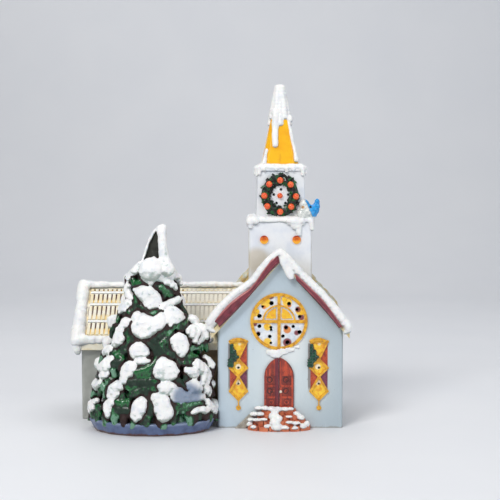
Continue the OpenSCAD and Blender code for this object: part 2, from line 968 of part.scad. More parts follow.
module wing_snow() {
    place = wing_roof_left - rake_snow_lip / 2 + rake_snow_w / 2;
    start = place + rake_snow_w / 2 * (1 + swell_share) + drift_gap;
    tail_r = rake_snow_w * 0.4;
    color("white") {
        translate([place, wing_mid_y, wing_top])
            rotate([0, 0, 90])
                rake_drift(wing_run + rake_snow_lip, rake_snow_w, rake_snow_h);
        translate([start, wing_mid_y, wing_top])
            drift(-block_run - drift_gap - start, ridge_snow_w, ridge_snow_h, slope);
        for (side = [-1, 1])
            on_slope([0, wing_mid_y, wing_top], side < 0 ? 0 : 180)
                translate([side < 0 ? start : block_run + drift_gap, eave_snow_w / 2 - wing_slope_l, 0])
                    drift(-block_run - drift_gap - start, eave_snow_w, eave_snow_h);
        // tails that hang in front of the roof's lower corners
        for (side = [-1, 1])
            intersection() {
                rolled([
                    [place, wing_mid_y + side * wing_run, wing_top - wing_run * slope + tail_r / 2, tail_r],
                    [place - tail_r / 2, wing_mid_y + side * (wing_run + tail_r / 4), wing_top - wing_run * slope - roof_rise * 1.4, tail_r * 0.8]
                ]);
                translate([place - rake_snow_w, wing_mid_y + (side > 0 ? wing_run : -wing_run - rake_snow_w), 0])
                    cube([2 * rake_snow_w, rake_snow_w, wing_top]);
            }
    }
}

// Low bands of snow that lie between the courses of shingles
module course_snow() {
    block_field = block_d + 2 * rake_out - 2 * field_margin;
    color("white") {
        difference() {
            for (side = [-1, 1])
                on_slope([0, 0, block_top], side * 90)
                    translate([side * (block_roof_front + block_roof_back) / 2, 0, 0])
                        snow_bands(-block_field / 2, block_field / 2, block_slope_l);
            translate([0, 0, tower_foot])
                linear_extrude(tower_top - tower_foot)
                    rounded_rect(tower_w + 2 * tower_margin, tower_w + 2 * tower_margin, corner_r);
            valley_plan(-1);
        }
        difference() {
            for (side = [-1, 1])
                on_slope([0, wing_mid_y, wing_top], side < 0 ? 0 : 180)
                    snow_bands(side < 0 ? wing_roof_left + field_margin : tower_w / 2,
                        side < 0 ? -tower_w / 2 : -wing_roof_left - field_margin, wing_slope_l);
            valley_plan(1);
        }
    }
}

module tower() {
    color("aliceblue")
        difference() {
            translate([0, 0, tower_foot])
                linear_extrude(tower_top - tower_foot)
                    tower_plan();
            translate([steeple_wall - tower_w / 2, steeple_wall - tower_w / 2, tower_foot - overrun])
                cube([tower_w - 2 * steeple_wall, tower_w - 2 * steeple_wall,
                    tower_top - tower_foot - steeple_wall + overrun]);
            translate([0, 0, tower_foot])
                cylinder(tower_top - tower_foot + overrun, r = belfry_top_w / 2 - 2 * steeple_wall, $fn = round_fn);
            for (side = [-1, 1])
                translate([side * roundel_x, 0, roundel_z])
                    along_y(-tower_w / 2 - overrun, roundel_sink - tower_w / 2)
                        circle(roundel_r, $fn = round_fn);
        }
}

module tower_roundels() {
    color("orange")
        for (side = [-1, 1])
            translate([side * roundel_x, roundel_sink - tower_w / 2, roundel_z])
                rotate([90, 0, 0])
                    difference() {
                        cylinder(roundel_sink + lead_t, r = roundel_r, $fn = round_fn);
                        translate([0, 0, roundel_sink])
                            cylinder(lead_t + overrun, r = roundel_r / 2, $fn = round_fn);
                    }
}

module in_steeple(z) {
    translate([0, 0, z])
        rotate([0, 0, steeple_turn])
            children();
}

module belfry_body() {
    in_steeple(tower_top)
        frustum(belfry_w, belfry_top_w, belfry_h);
}

// Stands its children on the belfry's front, at the wreath's centre, with Z facing out
module on_belfry_front() {
    lean = atan((belfry_w - belfry_top_w) / 2 / belfry_h);
    rise_share = (wreath_z - tower_top) / belfry_h;
    in_steeple(wreath_z)
        translate([0, -(belfry_w - (belfry_w - belfry_top_w) * rise_share) / 2, 0])
            rotate([90 - lean, 0, 0])
                children();
}

module belfry() {
    color("white")
        difference() {
            belfry_body();
            in_steeple(tower_top - overrun)
                frustum(belfry_w - 2 * steeple_wall, belfry_top_w - 2 * steeple_wall, belfry_h - steeple_wall + overrun);
            on_belfry_front()
                for (i = [0 : wreath_hole_count - 1])
                    rotate([0, 0, 360 / wreath_hole_count * i])
                        translate([0, wreath_hole_ring_r, -2 * steeple_wall])
                            cylinder(2 * steeple_wall + overrun, r = wreath_hole_r, $fn = round_fn);
        }
}

// Space that the wreath takes in the snow below it
module wreath_bed() {
    on_belfry_front()
        translate([0, 0, -overrun]) {
            cylinder(overrun + wreath_depth + drift_gap, r = wreath_r + wreath_band_r + drift_gap / 2, $fn = round_fn);
            cylinder(overrun + wreath_depth + berry_r + drift_gap, r = wreath_r + berry_r + drift_gap / 2,
                $fn = round_fn);
        }
}

module wreath() {
    color("darkgreen")
        on_belfry_front()
            rotate_extrude($fn = round_fn)
                polygon([
                    [wreath_r - wreath_band_r, 0], [wreath_r + wreath_band_r, 0],
                    [wreath_r + wreath_band_r * 0.9, wreath_depth * 0.6], [wreath_r + wreath_band_r * 0.55, wreath_depth],
                    [wreath_r - wreath_band_r * 0.55, wreath_depth], [wreath_r - wreath_band_r * 0.9, wreath_depth * 0.6]
                ]);
}

module half_ball(r) {
    intersection() {
        sphere(r, $fn = round_fn);
        translate([-r, -r, 0])
            cube([2 * r, 2 * r, r]);
    }
}

module wreath_berries() {
    color("orangered")
        on_belfry_front() {
            for (i = [0 : berry_count - 1])
                rotate([0, 0, 360 / berry_count * i])
                    translate([0, wreath_r, wreath_depth])
                        half_ball(berry_r * 0.85);
            half_ball(centre_berry_r);
        }
}

module cornice() {
    color("white")
        in_steeple(belfry_top)
            translate([-cornice_w / 2, -cornice_w / 2, 0])
                cube([cornice_w, cornice_w, cornice_h]);
}

module cornice_snow() {
    color("white")
        difference() {
            in_steeple(cornice_top) {
                drift_ring_round(spire_w, cornice_w + 2 * cornice_snow_out, cornice_snow_h);
                for (x = [-0.8, -0.3, 0.2, 0.7])
                    rolled([
                        [x * cornice_w / 2, -cornice_w / 2, cornice_snow_out, 2 * cornice_snow_out],
                        [x * cornice_w / 2, -cornice_w / 2, -cornice_h * (1 - x / 3), 1.5 * cornice_snow_out]
                    ]);
            }
            in_steeple(cornice_top)
                frustum(spire_w, spire_tip_w, spire_h);
            translate([0, 0, -overrun])
                in_steeple(cornice_top - cornice_h)
                    translate([-cornice_w / 2, -cornice_w / 2, 0])
                        cube([cornice_w, cornice_w, cornice_h + overrun]);
            belfry_body();
        }
}

module spire() {
    diagonal_share = sqrt(2) * (1 - spire_chamfer_share);
    color("gold")
        in_steeple(cornice_top)
            intersection() {
                frustum(spire_w, spire_tip_w, spire_h);
                rotate([0, 0, 45])
                    frustum(spire_w * diagonal_share, spire_tip_w * diagonal_share, spire_h);
            }
}

module spire_snow() {
    color("white")
        difference() {
            in_steeple(cornice_top) {
                for (i = [0 : 3])
                    rotate([0, 0, 90 * i])
                        rolled([
                            [spire_w / 2 - hip_r, spire_w / 2 - hip_r, cornice_snow_h / 2, hip_r],
                            [spire_tip_w / 2, spire_tip_w / 2, spire_h - hip_r, hip_r]
                        ]);
                rolled([
                    [0, 0, spire_h - cap_snow_r / 2, cap_snow_r],
                    [0, 0, spire_h - cap_snow_l * 0.5, cap_snow_r * 1.75],
                    [0, 0, spire_h - cap_snow_l, cap_snow_r * 2.2]
                ]);
                rolled([
                    [-cap_snow_r, -cap_snow_r * 1.6, spire_h - cap_snow_l * 0.9, cap_snow_r],
                    [-cap_snow_r, -cap_snow_r * 2.9, spire_h - cap_snow_l - cap_drip_l, cap_snow_r * 0.6]
                ]);
            }
            spire();
        }
}

module tower_snow() {
    color("white")
        difference() {
            union() {
                translate([0, 0, tower_top])
                    drift_ring_round(belfry_top_w, tower_w + 2 * ledge_out, ledge_snow_h);
                for (spot = [[-0.85, 0.25], [-0.5, 0.15], [-0.1, 0.3], [0.42, 1], [0.75, 0.2]])
                    rolled([
                        [spot[0] * tower_w / 2, -tower_w / 2, tower_top + ledge_drip_r / 2, ledge_drip_r],
                        [spot[0] * tower_w / 2, -tower_w / 2, tower_top - spot[1] * ledge_drip_l, ledge_drip_r * 0.8]
                    ]);
            }
            translate([0, 0, tower_foot])
                linear_extrude(tower_top - tower_foot)
                    tower_plan();
            belfry_body();
            bird_shape();
            wreath_bed();
        }
}

module in_bird() {
    translate([bird_x, bird_y, bird_z])
        rotate([0, 0, bird_turn])
            children();
}

// Whole bird, facing left: body, head and raised tail
module bird_shape() {
    in_bird() {
        rotate([0, 90, 0])
            rotate_extrude($fn = round_fn)
                polygon([for (a = [0 : 15 : 180])
                    [bird_body_r * sin(a), -bird_body_r * bird_long_share * cos(a) * (a < 90 ? 0.9 : 1.1)]]);
        translate([bird_head_x, 0, bird_head_z])
            sphere(bird_head_r, $fn = round_fn);
        translate([bird_tail_x, 0, bird_tail_z])
            rotate([0, -bird_tail_lean, 0])
                translate([0, 0, -bird_tail_l])
                    cylinder(bird_tail_l, r1 = bird_body_r / 2, r2 = bird_tail_r, $fn = round_fn);
    }
}

// Half-space over a leaning plane, that holds the bird's blue back
module bird_upper_half() {
    size = 6 * bird_body_r;
    in_bird()
        translate([0, 0, bird_split_z])
            rotate([0, -bird_split, 0])
                translate([-size / 2, -size / 2, 0])
                    cube([size, size, size]);
}

module bird_body() {
    color("gainsboro")
        difference() {
            bird_shape();
            bird_upper_half();
            tower_block();
            belfry_body();
        }
}

// The ledge that the bird sits on
module tower_block() {
    translate([-tower_w / 2, -tower_w / 2, tower_top - tower_w])
        cube([tower_w, tower_w, tower_w]);
}

module bird_back() {
    color("deepskyblue")
        difference() {
            intersection() {
                bird_shape();
                bird_upper_half();
            }
            belfry_body();
        }
}

module bird_beak() {
    color("gold")
        difference() {
            in_bird()
                translate([bird_head_x - bird_head_r - bird_beak_l * 0.6, 0, bird_head_z])
                    rotate([0, 90, 0])
                        cylinder(bird_beak_l, r1 = 0, r2 = bird_beak_r, $fn = round_fn);
            bird_shape();
        }
}

module door_snow() {
    top = door_sill + door_h;
    color("white")
        difference() {
            rolled([
                [door_x - door_w * 0.36, front_y, top - hood_r, hood_r * 0.6],
                [door_x - door_w * 0.2, front_y, top + hood_r * 0.4, hood_r],
                [door_x, front_y, top - hood_drop * 0.4, hood_r],
                [door_x + door_w * 0.25, front_y, top + hood_r * 0.6, hood_r],
                [door_x + door_w * 0.55, front_y, top + hood_r * 1.2, hood_r * 0.8],
                [door_x + door_w * 0.9, front_y, top + hood_r * 2, hood_r * 0.5]
            ]);
            door_body(0);
            translate([-block_half, front_y, 0])
                cube([block_w, hood_r + overrun, block_peak]);
        }
}

// Plan of one step, wide at the wall and round at the front
module step_2d(w, d) {
    intersection() {
        translate([-w / 2, -d])
            square([w, d]);
        scale([1, 2 * d / w])
            circle(w / 2 * 1.12, $fn = round_fn);
    }
}

module steps_body(grow = 0) {
    rise = door_sill / step_count;
    translate([steps_x, front_y, 0])
        for (i = [0 : step_count - 1])
            translate([0, 0, i * rise])
                linear_extrude(rise)
                    step_2d(steps_w + (steps_top_w - steps_w) * i / (step_count - 1) + 2 * grow,
                        steps_d + (steps_top_d - steps_d) * i / (step_count - 1) + grow);
}

module steps() {
    rise = door_sill / step_count;
    color("coral")
        difference() {
            steps_body();
            for (i = [0 : step_count - 1]) {
                d = steps_d + (steps_top_d - steps_d) * i / (step_count - 1);
                for (j = [-3 : 3])
                    translate([steps_x + (j + 0.5 * (i % 2)) * brick_pitch - joint_w / 2,
                        front_y - d - overrun, i * rise - (i == 0 ? overrun : 0)])
                        cube([joint_w, overrun + joint_sink + d * 0.15 * abs(j), rise + (i == 0 ? overrun : 0)]);
            }
        }
}

// Sloping kerb beside the steps
module steps_kerb() {
    color("silver")
        difference() {
            along_y(front_y - kerb_t, front_y)
                polygon([for (share = kerb_shares) [kerb_x + share[0] * kerb_w, share[1] * kerb_h]]);
            steps_body();
        }
}

module steps_snow() {
    rise = door_sill / step_count;
    color("white")
        difference() {
            translate([steps_x, front_y, 0]) {
                for (i = [0 : step_count - 1]) {
                    w = steps_w + (steps_top_w - steps_w) * i / (step_count - 1);
                    d = steps_d + (steps_top_d - steps_d) * i / (step_count - 1);
                    rolled([
                        [-w * 0.42, -d * 0.3, (i + 1) * rise, rise * 0.5],
                        [-w * 0.24, -d * 0.75, (i + 1) * rise, rise * 0.55],
                        [-w * 0.05, -d * 0.9, (i + 0.9) * rise, rise * 0.75]
                    ]);
                    rolled([
                        [w * 0.15, -d * 0.8, (i + 1) * rise, rise * 0.5],
                        [w * 0.4, -d * 0.55, (i + 1) * rise, rise * 0.6]
                    ]);
                }
            }
            steps_body(riser_gap);
            translate([-block_half, front_y, -overrun])
                cube([block_w, steps_d, block_wall_h]);
            door_body(0);
            translate([-block_half, front_y - 2 * steps_d, -steps_d])
                cube([block_w, 3 * steps_d, steps_d]);
        }
}

// Uneven oval of the fir's foot
module fir_plan(share) {
    polygon([for (a = [0 : 6 : 354])
        let (r = fir_w / 2 * share * (1 - fir_wave_share * (1 + sin(5 * a)) / 2))
            [r * cos(a), r * sin(a) * fir_flat_share]]);
}

module fir_base() {
    layer_h = fir_base_h / len(fir_base_shares);
    color("lightsteelblue")
        translate([fir_x, fir_y, 0])
            for (i = [0 : len(fir_base_shares) - 1])
                translate([0, 0, i * layer_h])
                    linear_extrude(layer_h)
                        fir_plan(fir_base_shares[i]);
}

// A place on a tier of the fir, from its radius and turn
function fir_place(r, a, z) = [r * cos(a), r * sin(a) * fir_flat_share, z];

module fir_boughs(out, up, sides, grow) {
    for (t = [0 : len(fir_tier_shares) - 1], i = [0 : fir_bough_counts[t] - 1]) {
        tier = fir_tier_shares[t];
        a = 360 / fir_bough_counts[t] * (i + 0.5 * (t % 2)) - 90;
        r = tier[1] * fir_w / 2 * (1 + 0.05 * sin(73 * i + 50 * t));
        ball = tier[2] * fir_w / 2 * grow;
        z = tier[0] * fir_h + fir_droop / 2 * sin(61 * i + 40 * t);
        hull() {
            translate(fir_place(r * 0.62 + out, a, z + fir_droop + up))
                sphere(ball, $fn = sides);
            translate(fir_place(r + out, a, z + up))
                sphere(ball, $fn = sides);
        }
    }
}

module fir() {
    color("darkgreen")
        translate([fir_x, fir_y, 0])
            difference() {
                union() {
                    scale([1, fir_flat_share, 1])
                        rotate_extrude($fn = 24)
                            polygon(concat(
                                [[0, fir_base_h], [fir_w / 2 * 0.8, fir_base_h]],
                                [for (tier = fir_tier_shares) [tier[1] * fir_w / 2 * 0.85, tier[0] * fir_h]],
                                [[0, fir_h * 0.93]]
                            ));
                    fir_boughs(0, 0, fir_sides, 1);
                    rolled([
                        [0, 0, fir_h * 0.8, fir_tip_r * 2],
                        [0, 0, fir_h * 0.92, fir_tip_r * 1.5],
                        [fir_tip_lean, 0, fir_h - fir_tip_r, fir_tip_r]
                    ]);
                }
                translate([-fir_w, -fir_w, -fir_w])
                    cube([2 * fir_w, 2 * fir_w, fir_w + fir_base_h]);
                translate([-fir_w, wing_front_y - fir_gap - fir_y, 0])
                    cube([2 * fir_w, fir_w, fir_h]);
            }
}

module fir_snow() {
    color("snow")
        difference() {
            translate([fir_x, fir_y, 0])
                fir_boughs(fir_snow_out, fir_snow_up, fir_sides, 0.85);
            fir();
            wing_roof_outline();
            translate([-2 * block_w - wing_l, wing_front_y - fir_gap, 0])
                cube([3 * block_w + wing_l, fir_w, fir_h]);
            translate([wing_right - fir_gap, -block_d, 0])
                cube([block_w, block_d, fir_h]);
        }
}

// Parts of the lamp are turned about its axis; Z there runs out of the back wall
module turned(profile) {
    lamp_axis()
        rotate_extrude($fn = round_fn)
            polygon(profile);
}

module socket_body() {
    flange_y = back_y + flange_gap;
    floor_y = flange_y + flange_t - socket_floor;
    color("ivory")
        difference() {
            turned([
                [0, floor_y], [shell_r + shell_t, floor_y], [shell_r + shell_t, socket_front],
                [socket_r, socket_front], [socket_r, flange_y], [flange_r, flange_y],
                [flange_r, flange_y + flange_t], [0, flange_y + flange_t]
            ]);
            lamp_axis()
                translate([0, 0, floor_y - overrun])
                    cylinder(socket_floor + 2 * overrun, r = cord_r, $fn = round_fn);
        }
}

module socket_shell() {
    color("gold")
        turned([
            [shell_r, socket_front + shell_t], [shell_r + shell_t, socket_front + shell_t],
            [shell_r + shell_t, socket_front + shell_l], [shell_r, socket_front + shell_l]
        ]);
}

module socket_contact() {
    floor_y = back_y + flange_gap + flange_t - socket_floor;
    color("orange")
        turned([
            [0, floor_y], [contact_r, floor_y], [contact_r, floor_y - shell_t],
            [tip_r, tip_end + contact_gap], [0, tip_end + contact_gap]
        ]);
}

// Leaf springs that hold the lamp in its hole
module socket_springs() {
    out = lamp_hole_r - spring_gap;
    flange_y = back_y + flange_gap;
    bend_y = back_y - wall - spring_w / 2;
    foot_y = socket_front + spring_foot;
    color("silver")
        for (side = [-1, 1])
            scale([side, 1, 1])
                translate([0, 0, lamp_z - spring_w / 2])
                    linear_extrude(spring_w)
                        polygon([
                            [out - spring_t, flange_y], [out, flange_y], [out, bend_y],
                            [socket_r + spring_t, foot_y + spring_foot], [socket_r + spring_t, foot_y],
                            [socket_r, foot_y], [socket_r, foot_y + spring_foot], [out - spring_t, bend_y]
                        ]);
}

module bulb_contact() {
    color("silver")
        turned([[0, cap_end + insulator_l], [tip_r, cap_end + insulator_l], [tip_r * 0.7, tip_end], [0, tip_end]]);
}

module bulb_insulator() {
    color("black")
        turned([[0, cap_end], [cap_root_r, cap_end], [tip_r, cap_end + insulator_l], [0, cap_end + insulator_l]]);
}

// Screw cap with a ridge for each turn of its thread
module bulb_cap() {
    lead = cap_l / (thread_count + 1);
    color("gold")
        turned(concat(
            [[neck_r, cap_end], [neck_r, bulb_seat], [cap_root_r, bulb_seat]],
            [for (i = [1 : thread_count]) each [
                [cap_root_r, bulb_seat + (i - 0.35) * lead], [cap_root_r + thread_h, bulb_seat + i * lead],
                [cap_root_r, bulb_seat + (i + 0.35) * lead]
            ]],
            [[cap_root_r, cap_end]]
        ));
}

module bulb_glass() {
    outer_r = bulb_d / 2;
    last = len(glass_shares) - 1;
    color("lightyellow")
        turned(concat(
            [[neck_r, bulb_seat + neck_l], [neck_r, bulb_seat]],
            [for (share = glass_shares) [share[1] * outer_r, bulb_seat - share[0] * glass_l]],
            [[0, bulb_seat - glass_l], [0, bulb_seat - glass_l + glass_t]],
            [for (i = [last : -1 : 0])
                [glass_shares[i][1] * outer_r - glass_t, bulb_seat - glass_shares[i][0] * (glass_l - glass_t)]],
            [[neck_r - glass_t, bulb_seat], [neck_r - glass_t, bulb_seat + neck_l]]
        ));
}

module bulb_stem() {
    color("lightcyan")
        turned([
            [0, bulb_seat + neck_l], [neck_r - glass_t, bulb_seat + neck_l],
            [neck_r - glass_t, bulb_seat + neck_l - glass_t], [stem_r, bulb_seat + neck_l / 2],
            [stem_r, bulb_seat - stem_l], [0, bulb_seat - stem_l]
        ]);
}

module bulb_filament() {
    front = bulb_seat - stem_l - wire_l;
    color("dimgray")
        union() {
            for (side = [-1, 1])
                translate([side * (stem_r - wire_r), 0, 0])
                    lamp_axis()
                        translate([0, 0, front])
                            cylinder(wire_l, r = wire_r, $fn = 16);
            translate([-filament_w / 2, front, lamp_z])
                rotate([0, 90, 0])
                    cylinder(filament_w, r = wire_r, $fn = 16);
        }
}

front_block();
wing();
block_roof_left();
block_roof_right();
wing_roof_front();
wing_roof_back();
rake_board_left();
rake_board_right();
block_snow();
wing_snow();
course_snow();
tower();
tower_roundels();
tower_snow();
belfry();
cornice();
cornice_snow();
spire();
spire_snow();
wreath();
wreath_berries();
bird_body();
bird_back();
bird_beak();
rose_panes();
rose_amber();
rose_tracery();
window_leading();
window_amber();
window_green();
window_red();
window_plum();
door_left();
door_right();
door_knob();
door_snow();
steps();
steps_kerb();
steps_snow();
fir_base();
fir();
fir_snow();
socket_body();
socket_shell();
socket_contact();
socket_springs();
bulb_contact();
bulb_cap();
bulb_insulator();
bulb_glass();
bulb_stem();
bulb_filament();
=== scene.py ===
import random
from math import cos, exp, pi, radians, sin, sqrt, tan

import bpy
from mathutils import Euler, Matrix, Vector
from mathutils.kdtree import KDTree


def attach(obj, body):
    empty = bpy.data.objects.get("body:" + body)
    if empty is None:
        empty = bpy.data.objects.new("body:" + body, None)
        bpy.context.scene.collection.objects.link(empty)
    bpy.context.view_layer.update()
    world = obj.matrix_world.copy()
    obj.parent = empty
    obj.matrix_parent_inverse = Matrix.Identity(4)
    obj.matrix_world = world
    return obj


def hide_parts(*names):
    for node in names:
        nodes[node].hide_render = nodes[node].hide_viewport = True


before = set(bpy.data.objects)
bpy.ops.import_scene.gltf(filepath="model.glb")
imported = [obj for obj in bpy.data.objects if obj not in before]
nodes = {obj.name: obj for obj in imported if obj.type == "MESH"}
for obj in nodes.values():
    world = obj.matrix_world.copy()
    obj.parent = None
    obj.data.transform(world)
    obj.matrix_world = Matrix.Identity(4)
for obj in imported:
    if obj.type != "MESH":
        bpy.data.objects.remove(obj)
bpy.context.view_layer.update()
mm = 0.001
dice = random.Random(7)

pitch = radians(48)  # of every roof
# lines of the house in millimetres, x and y from the steeple's axis, z from the table; the turn in degrees
house = {
    "slope": tan(pitch), "frontY": -24.65, "half": 38.75, "top": 108.02, "run": 42.45, "windows": (-26.0, 23.2),
    "wingLeft": -131.25, "wingMid": 26.1, "wingTop": 83.69, "wingRun": 30.45,
    "tower": 19.65, "towerTop": 128, "belfryHalf": 15.5, "belfryTaper": 1.25, "belfryTop": 159,
    "cornice": 15.2, "spireFoot": 161, "spireTop": 212, "spireHalf": 11.8, "tipHalf": 1.7, "turn": 2,
}


# camera, floor and light

camera = {"place": (-0.01874, -0.681, 0.15885), "tilt": 4.193, "lens": 77.28, "sensor": 36, "near": 0.01}


def placeCamera():
    bpy.ops.object.camera_add(location=camera["place"], rotation=(radians(90 - camera["tilt"]), 0, 0))
    lens = bpy.context.object
    lens.data.lens = camera["lens"]
    lens.data.sensor_width = camera["sensor"]
    lens.data.clip_start = camera["near"]
    bpy.context.scene.camera = lens


studio = {
    "floor": 4, "wallY": 1.1, "bend": 0.45, "margin": 0.01, "aim": (-0.03, 0.01, 0.09),
    "world": 0.24, "air": (0.9, 0.94, 1, 1),
    # name, place, size, watts and colour of each soft lamp
    "lamps": [
        ("key", (-0.5, -0.8, 0.95), 0.45, 9.6, (1, 0.985, 0.96)),
        ("fill", (0.85, -0.75, 0.45), 0.9, 3.7, (0.95, 0.98, 1)),
        ("top", (0.05, 0.25, 1.15), 0.9, 4.9, (1, 1, 1)),
    ],
}


def pick(*things):  # selects only these, the last one active
    bpy.ops.object.select_all(action="DESELECT")
    for thing in things:
        thing.select_set(True)
    bpy.context.view_layer.objects.active = things[-1]


def mode(kind):
    bpy.ops.object.mode_set(mode=kind)


def editAll(piece):  # edit mode with the whole piece selected
    pick(piece)
    mode("EDIT")
    bpy.ops.mesh.select_all(action="SELECT")


def pickFold(floor):  # selects the floor's far edge, where the back wall rises
    margin = studio["margin"]
    for edge in floor.data.edges:
        ends = [floor.data.vertices[i].co for i in edge.vertices]
        edge.select = all(end.y > studio["floor"] / 2 - margin and end.z < margin for end in ends)


def buildStudio():
    bpy.ops.mesh.primitive_plane_add(size=studio["floor"], location=(0, studio["wallY"] - studio["floor"] / 2, 0))
    floor = bpy.context.object
    floor.name = "studioFloor"
    pick(floor)
    mode("EDIT")
    bpy.ops.mesh.select_mode(type="EDGE")
    bpy.ops.mesh.select_all(action="DESELECT")
    mode("OBJECT")
    pickFold(floor)
    mode("EDIT")
    bpy.ops.mesh.extrude_region_move(TRANSFORM_OT_translate={"value": (0, 0, studio["floor"] / 2)})
    mode("OBJECT")
    pickFold(floor)
    mode("EDIT")
    bpy.ops.mesh.bevel(offset=studio["bend"], segments=16)
    mode("OBJECT")
    bpy.ops.object.shade_smooth()
    bpy.ops.object.transform_apply(location=True)
    floor.data.materials.append(paleFloor())
    for name, place, size, watts, colour in studio["lamps"]:
        aim = Vector(studio["aim"]) - Vector(place)
        bpy.ops.object.light_add(type="AREA", location=place, rotation=aim.to_track_quat("-Z", "Y").to_euler())
        lamp = bpy.context.object
        lamp.name = name + "Lamp"
        lamp.data.size = size
        lamp.data.energy = watts
        lamp.data.color = colour
    world = bpy.data.worlds.new("studioAir")
    world.use_nodes = True
    air = world.node_tree.nodes["Background"].inputs
    air["Color"].default_value = studio["air"]
    air["Strength"].default_value = studio["world"]
    bpy.context.scene.world = world
    bpy.context.scene.view_settings.view_transform = "Standard"


# paint: shader maths as plain expressions

class Wire:  # one output of a node, with sums and products as Math nodes
    def __init__(self, paint, socket):
        self.paint = paint
        self.socket = socket

    def maths(self, operation, first, second):
        return self.paint.node("ShaderNodeMath", {"operation": operation}, {0: first, 1: second})

    def __add__(self, other):
        return self.maths("ADD", self, other)

    def __sub__(self, other):
        return self.maths("SUBTRACT", self, other)

    def __rsub__(self, other):
        return self.maths("SUBTRACT", other, self)

    def __mul__(self, other):
        return self.maths("MULTIPLY", self, other)

    def __pow__(self, other):
        return self.maths("POWER", self, other)

    def __abs__(self):
        return self.maths("ABSOLUTE", self, 0.0)

    def over(self, other):  # the larger of two
        return self.maths("MAXIMUM", self, other)

    __radd__ = __add__
    __rmul__ = __mul__


def shade(tint):  # a colour as eyes read it, 0 to 255, as the shader wants it
    parts = [part / 255 for part in tint]
    return tuple(v / 12.92 if v <= 0.04045 else ((v + 0.055) / 1.055) ** 2.4 for v in parts) + (1,)


class Paint:  # one material, its nodes, and the colour laid on so far
    def __init__(self, name, coat=0.0, coatRough=0.03, **sockets):
        self.material = bpy.data.materials.new(name)
        self.material.use_nodes = True
        self.tree = self.material.node_tree
        self.shader = self.tree.nodes["Principled BSDF"]
        self.colour = None
        sockets.update(Coat_Weight=coat, Coat_Roughness=coatRough)
        for socket, value in sockets.items():
            self.shader.inputs[socket.replace("_", " ")].default_value = value
        coordinates = self.node("ShaderNodeTexCoord", {}, {}, "Object")
        self.place = self.node("ShaderNodeVectorMath", {"operation": "SCALE"}, {0: coordinates, "Scale": 1000.0})
        self.x, self.y, self.z = [self.node("ShaderNodeSeparateXYZ", {}, {0: self.place}, i) for i in range(3)]

    def node(self, kind, settings, sockets, out=0):
        made = self.tree.nodes.new(kind)
        for name, value in settings.items():
            setattr(made, name, value)
        for name, value in sockets.items():
            if isinstance(value, Wire):
                self.tree.links.new(value.socket, made.inputs[name])
            else:
                made.inputs[name].default_value = value
        return Wire(self, made.outputs[out])

    def noise(self, size, detail=3.0, rough=0.55, stretch=(1, 1, 1)):  # 0 to 1, in lumps of size mm
        spread = self.node("ShaderNodeVectorMath", {"operation": "MULTIPLY"}, {0: self.place, 1: stretch})
        return self.node("ShaderNodeTexNoise", {}, {
            "Vector": spread, "Scale": 1 / size, "Detail": detail, "Roughness": rough})

    def fade(self, value, low, high):  # 0 below low, 1 above high
        return self.node("ShaderNodeMapRange", {"interpolation_type": "SMOOTHSTEP"}, {
            "Value": value, "From Min": low, "From Max": high})

    def mark(self, name):  # a number kept at the piece's points
        return self.node("ShaderNodeAttribute", {"attribute_name": name}, {}, 2)

    def blend(self, share, first, second):
        return self.node("ShaderNodeMix", {"data_type": "RGBA"}, {0: share, 6: first, 7: second}, 2)

    def mottle(self, value, low, high, first, second):  # from one tint to another as the value rises
        return self.blend(self.fade(value, low, high), shade(first), shade(second))

    def ground(self, *tones):  # the first colour that is laid on
        self.colour = self.mottle(*tones)

    def wash(self, share, *tint):  # one more tint over the colour so far
        self.colour = self.blend(share, self.colour, shade(tint))

    def spot(self, x, z, radius, soft=0.5):  # 1 inside a round patch on the front
        dx = self.x - x
        dz = self.z - z
        return 1 - self.fade((dx * dx + dz * dz) ** 0.5, radius - soft, radius + soft)

    def finish(self, rough, height=None, depth=0.0, coat=None):  # depth: of the bumps, in mm
        wires = {"Base Color": self.colour, "Roughness": rough}
        if height:
            wires["Normal"] = self.node("ShaderNodeBump", {}, {"Height": height, "Distance": depth * mm})
        if coat:
            wires["Coat Weight"] = coat
        for socket, wire in wires.items():
            self.tree.links.new(wire.socket, self.shader.inputs[socket])
        return self.material


def blendedPaint(name, size, first, second, **settings):  # two tints that pass into each other, without bumps
    paint = Paint(name, **settings)
    tone = paint.noise(size, 2.0)
    paint.colour = paint.blend(tone, shade(first), shade(second))
    return paint, tone


def paleFloor():
    paint, tone = blendedPaint("paleFloor", 120, (236, 237, 240), (228, 230, 235))
    return paint.finish(0.45 + 0.1 * tone)


glazes = {  # main tone, second tone, lump size in mm, bump depth in mm, roughness
    "whiteGlaze": ((236, 238, 240), (220, 226, 234), 9, 0.25, 0.3),
    "goldGlaze": ((240, 182, 40), (196, 130, 22), 2.2, 0.12, 0.26),
    "amberGlaze": ((252, 206, 38), (240, 166, 28), 2.6, 0.1, 0.22),
    "greenPane": ((14, 84, 58), (10, 50, 38), 3, 0.1, 0.2),
    "redPane": ((196, 82, 38), (150, 44, 30), 3, 0.1, 0.22),
    "plumPane": ((128, 58, 84), (88, 34, 54), 3, 0.1, 0.22),
    "ivoryGlaze": ((240, 232, 214), (220, 206, 180), 1, 0.05, 0.25),
    "beakGlaze": ((240, 178, 40), (206, 132, 26), 1.2, 0.05, 0.25),
    "kerbGlaze": ((186, 180, 168), (146, 138, 126), 2.5, 0.3, 0.45),
}


def plainGlaze(name):
    main, second, lump, depth, rough = glazes[name]
    paint = Paint(name, 0.35, 0.12)
    tone = paint.noise(lump)
    fine = paint.noise(lump / 6, 2.0)
    paint.ground(tone, 0.35, 0.72, main, second)
    return paint.finish(rough + 0.12 * fine, tone + 0.25 * fine, depth)


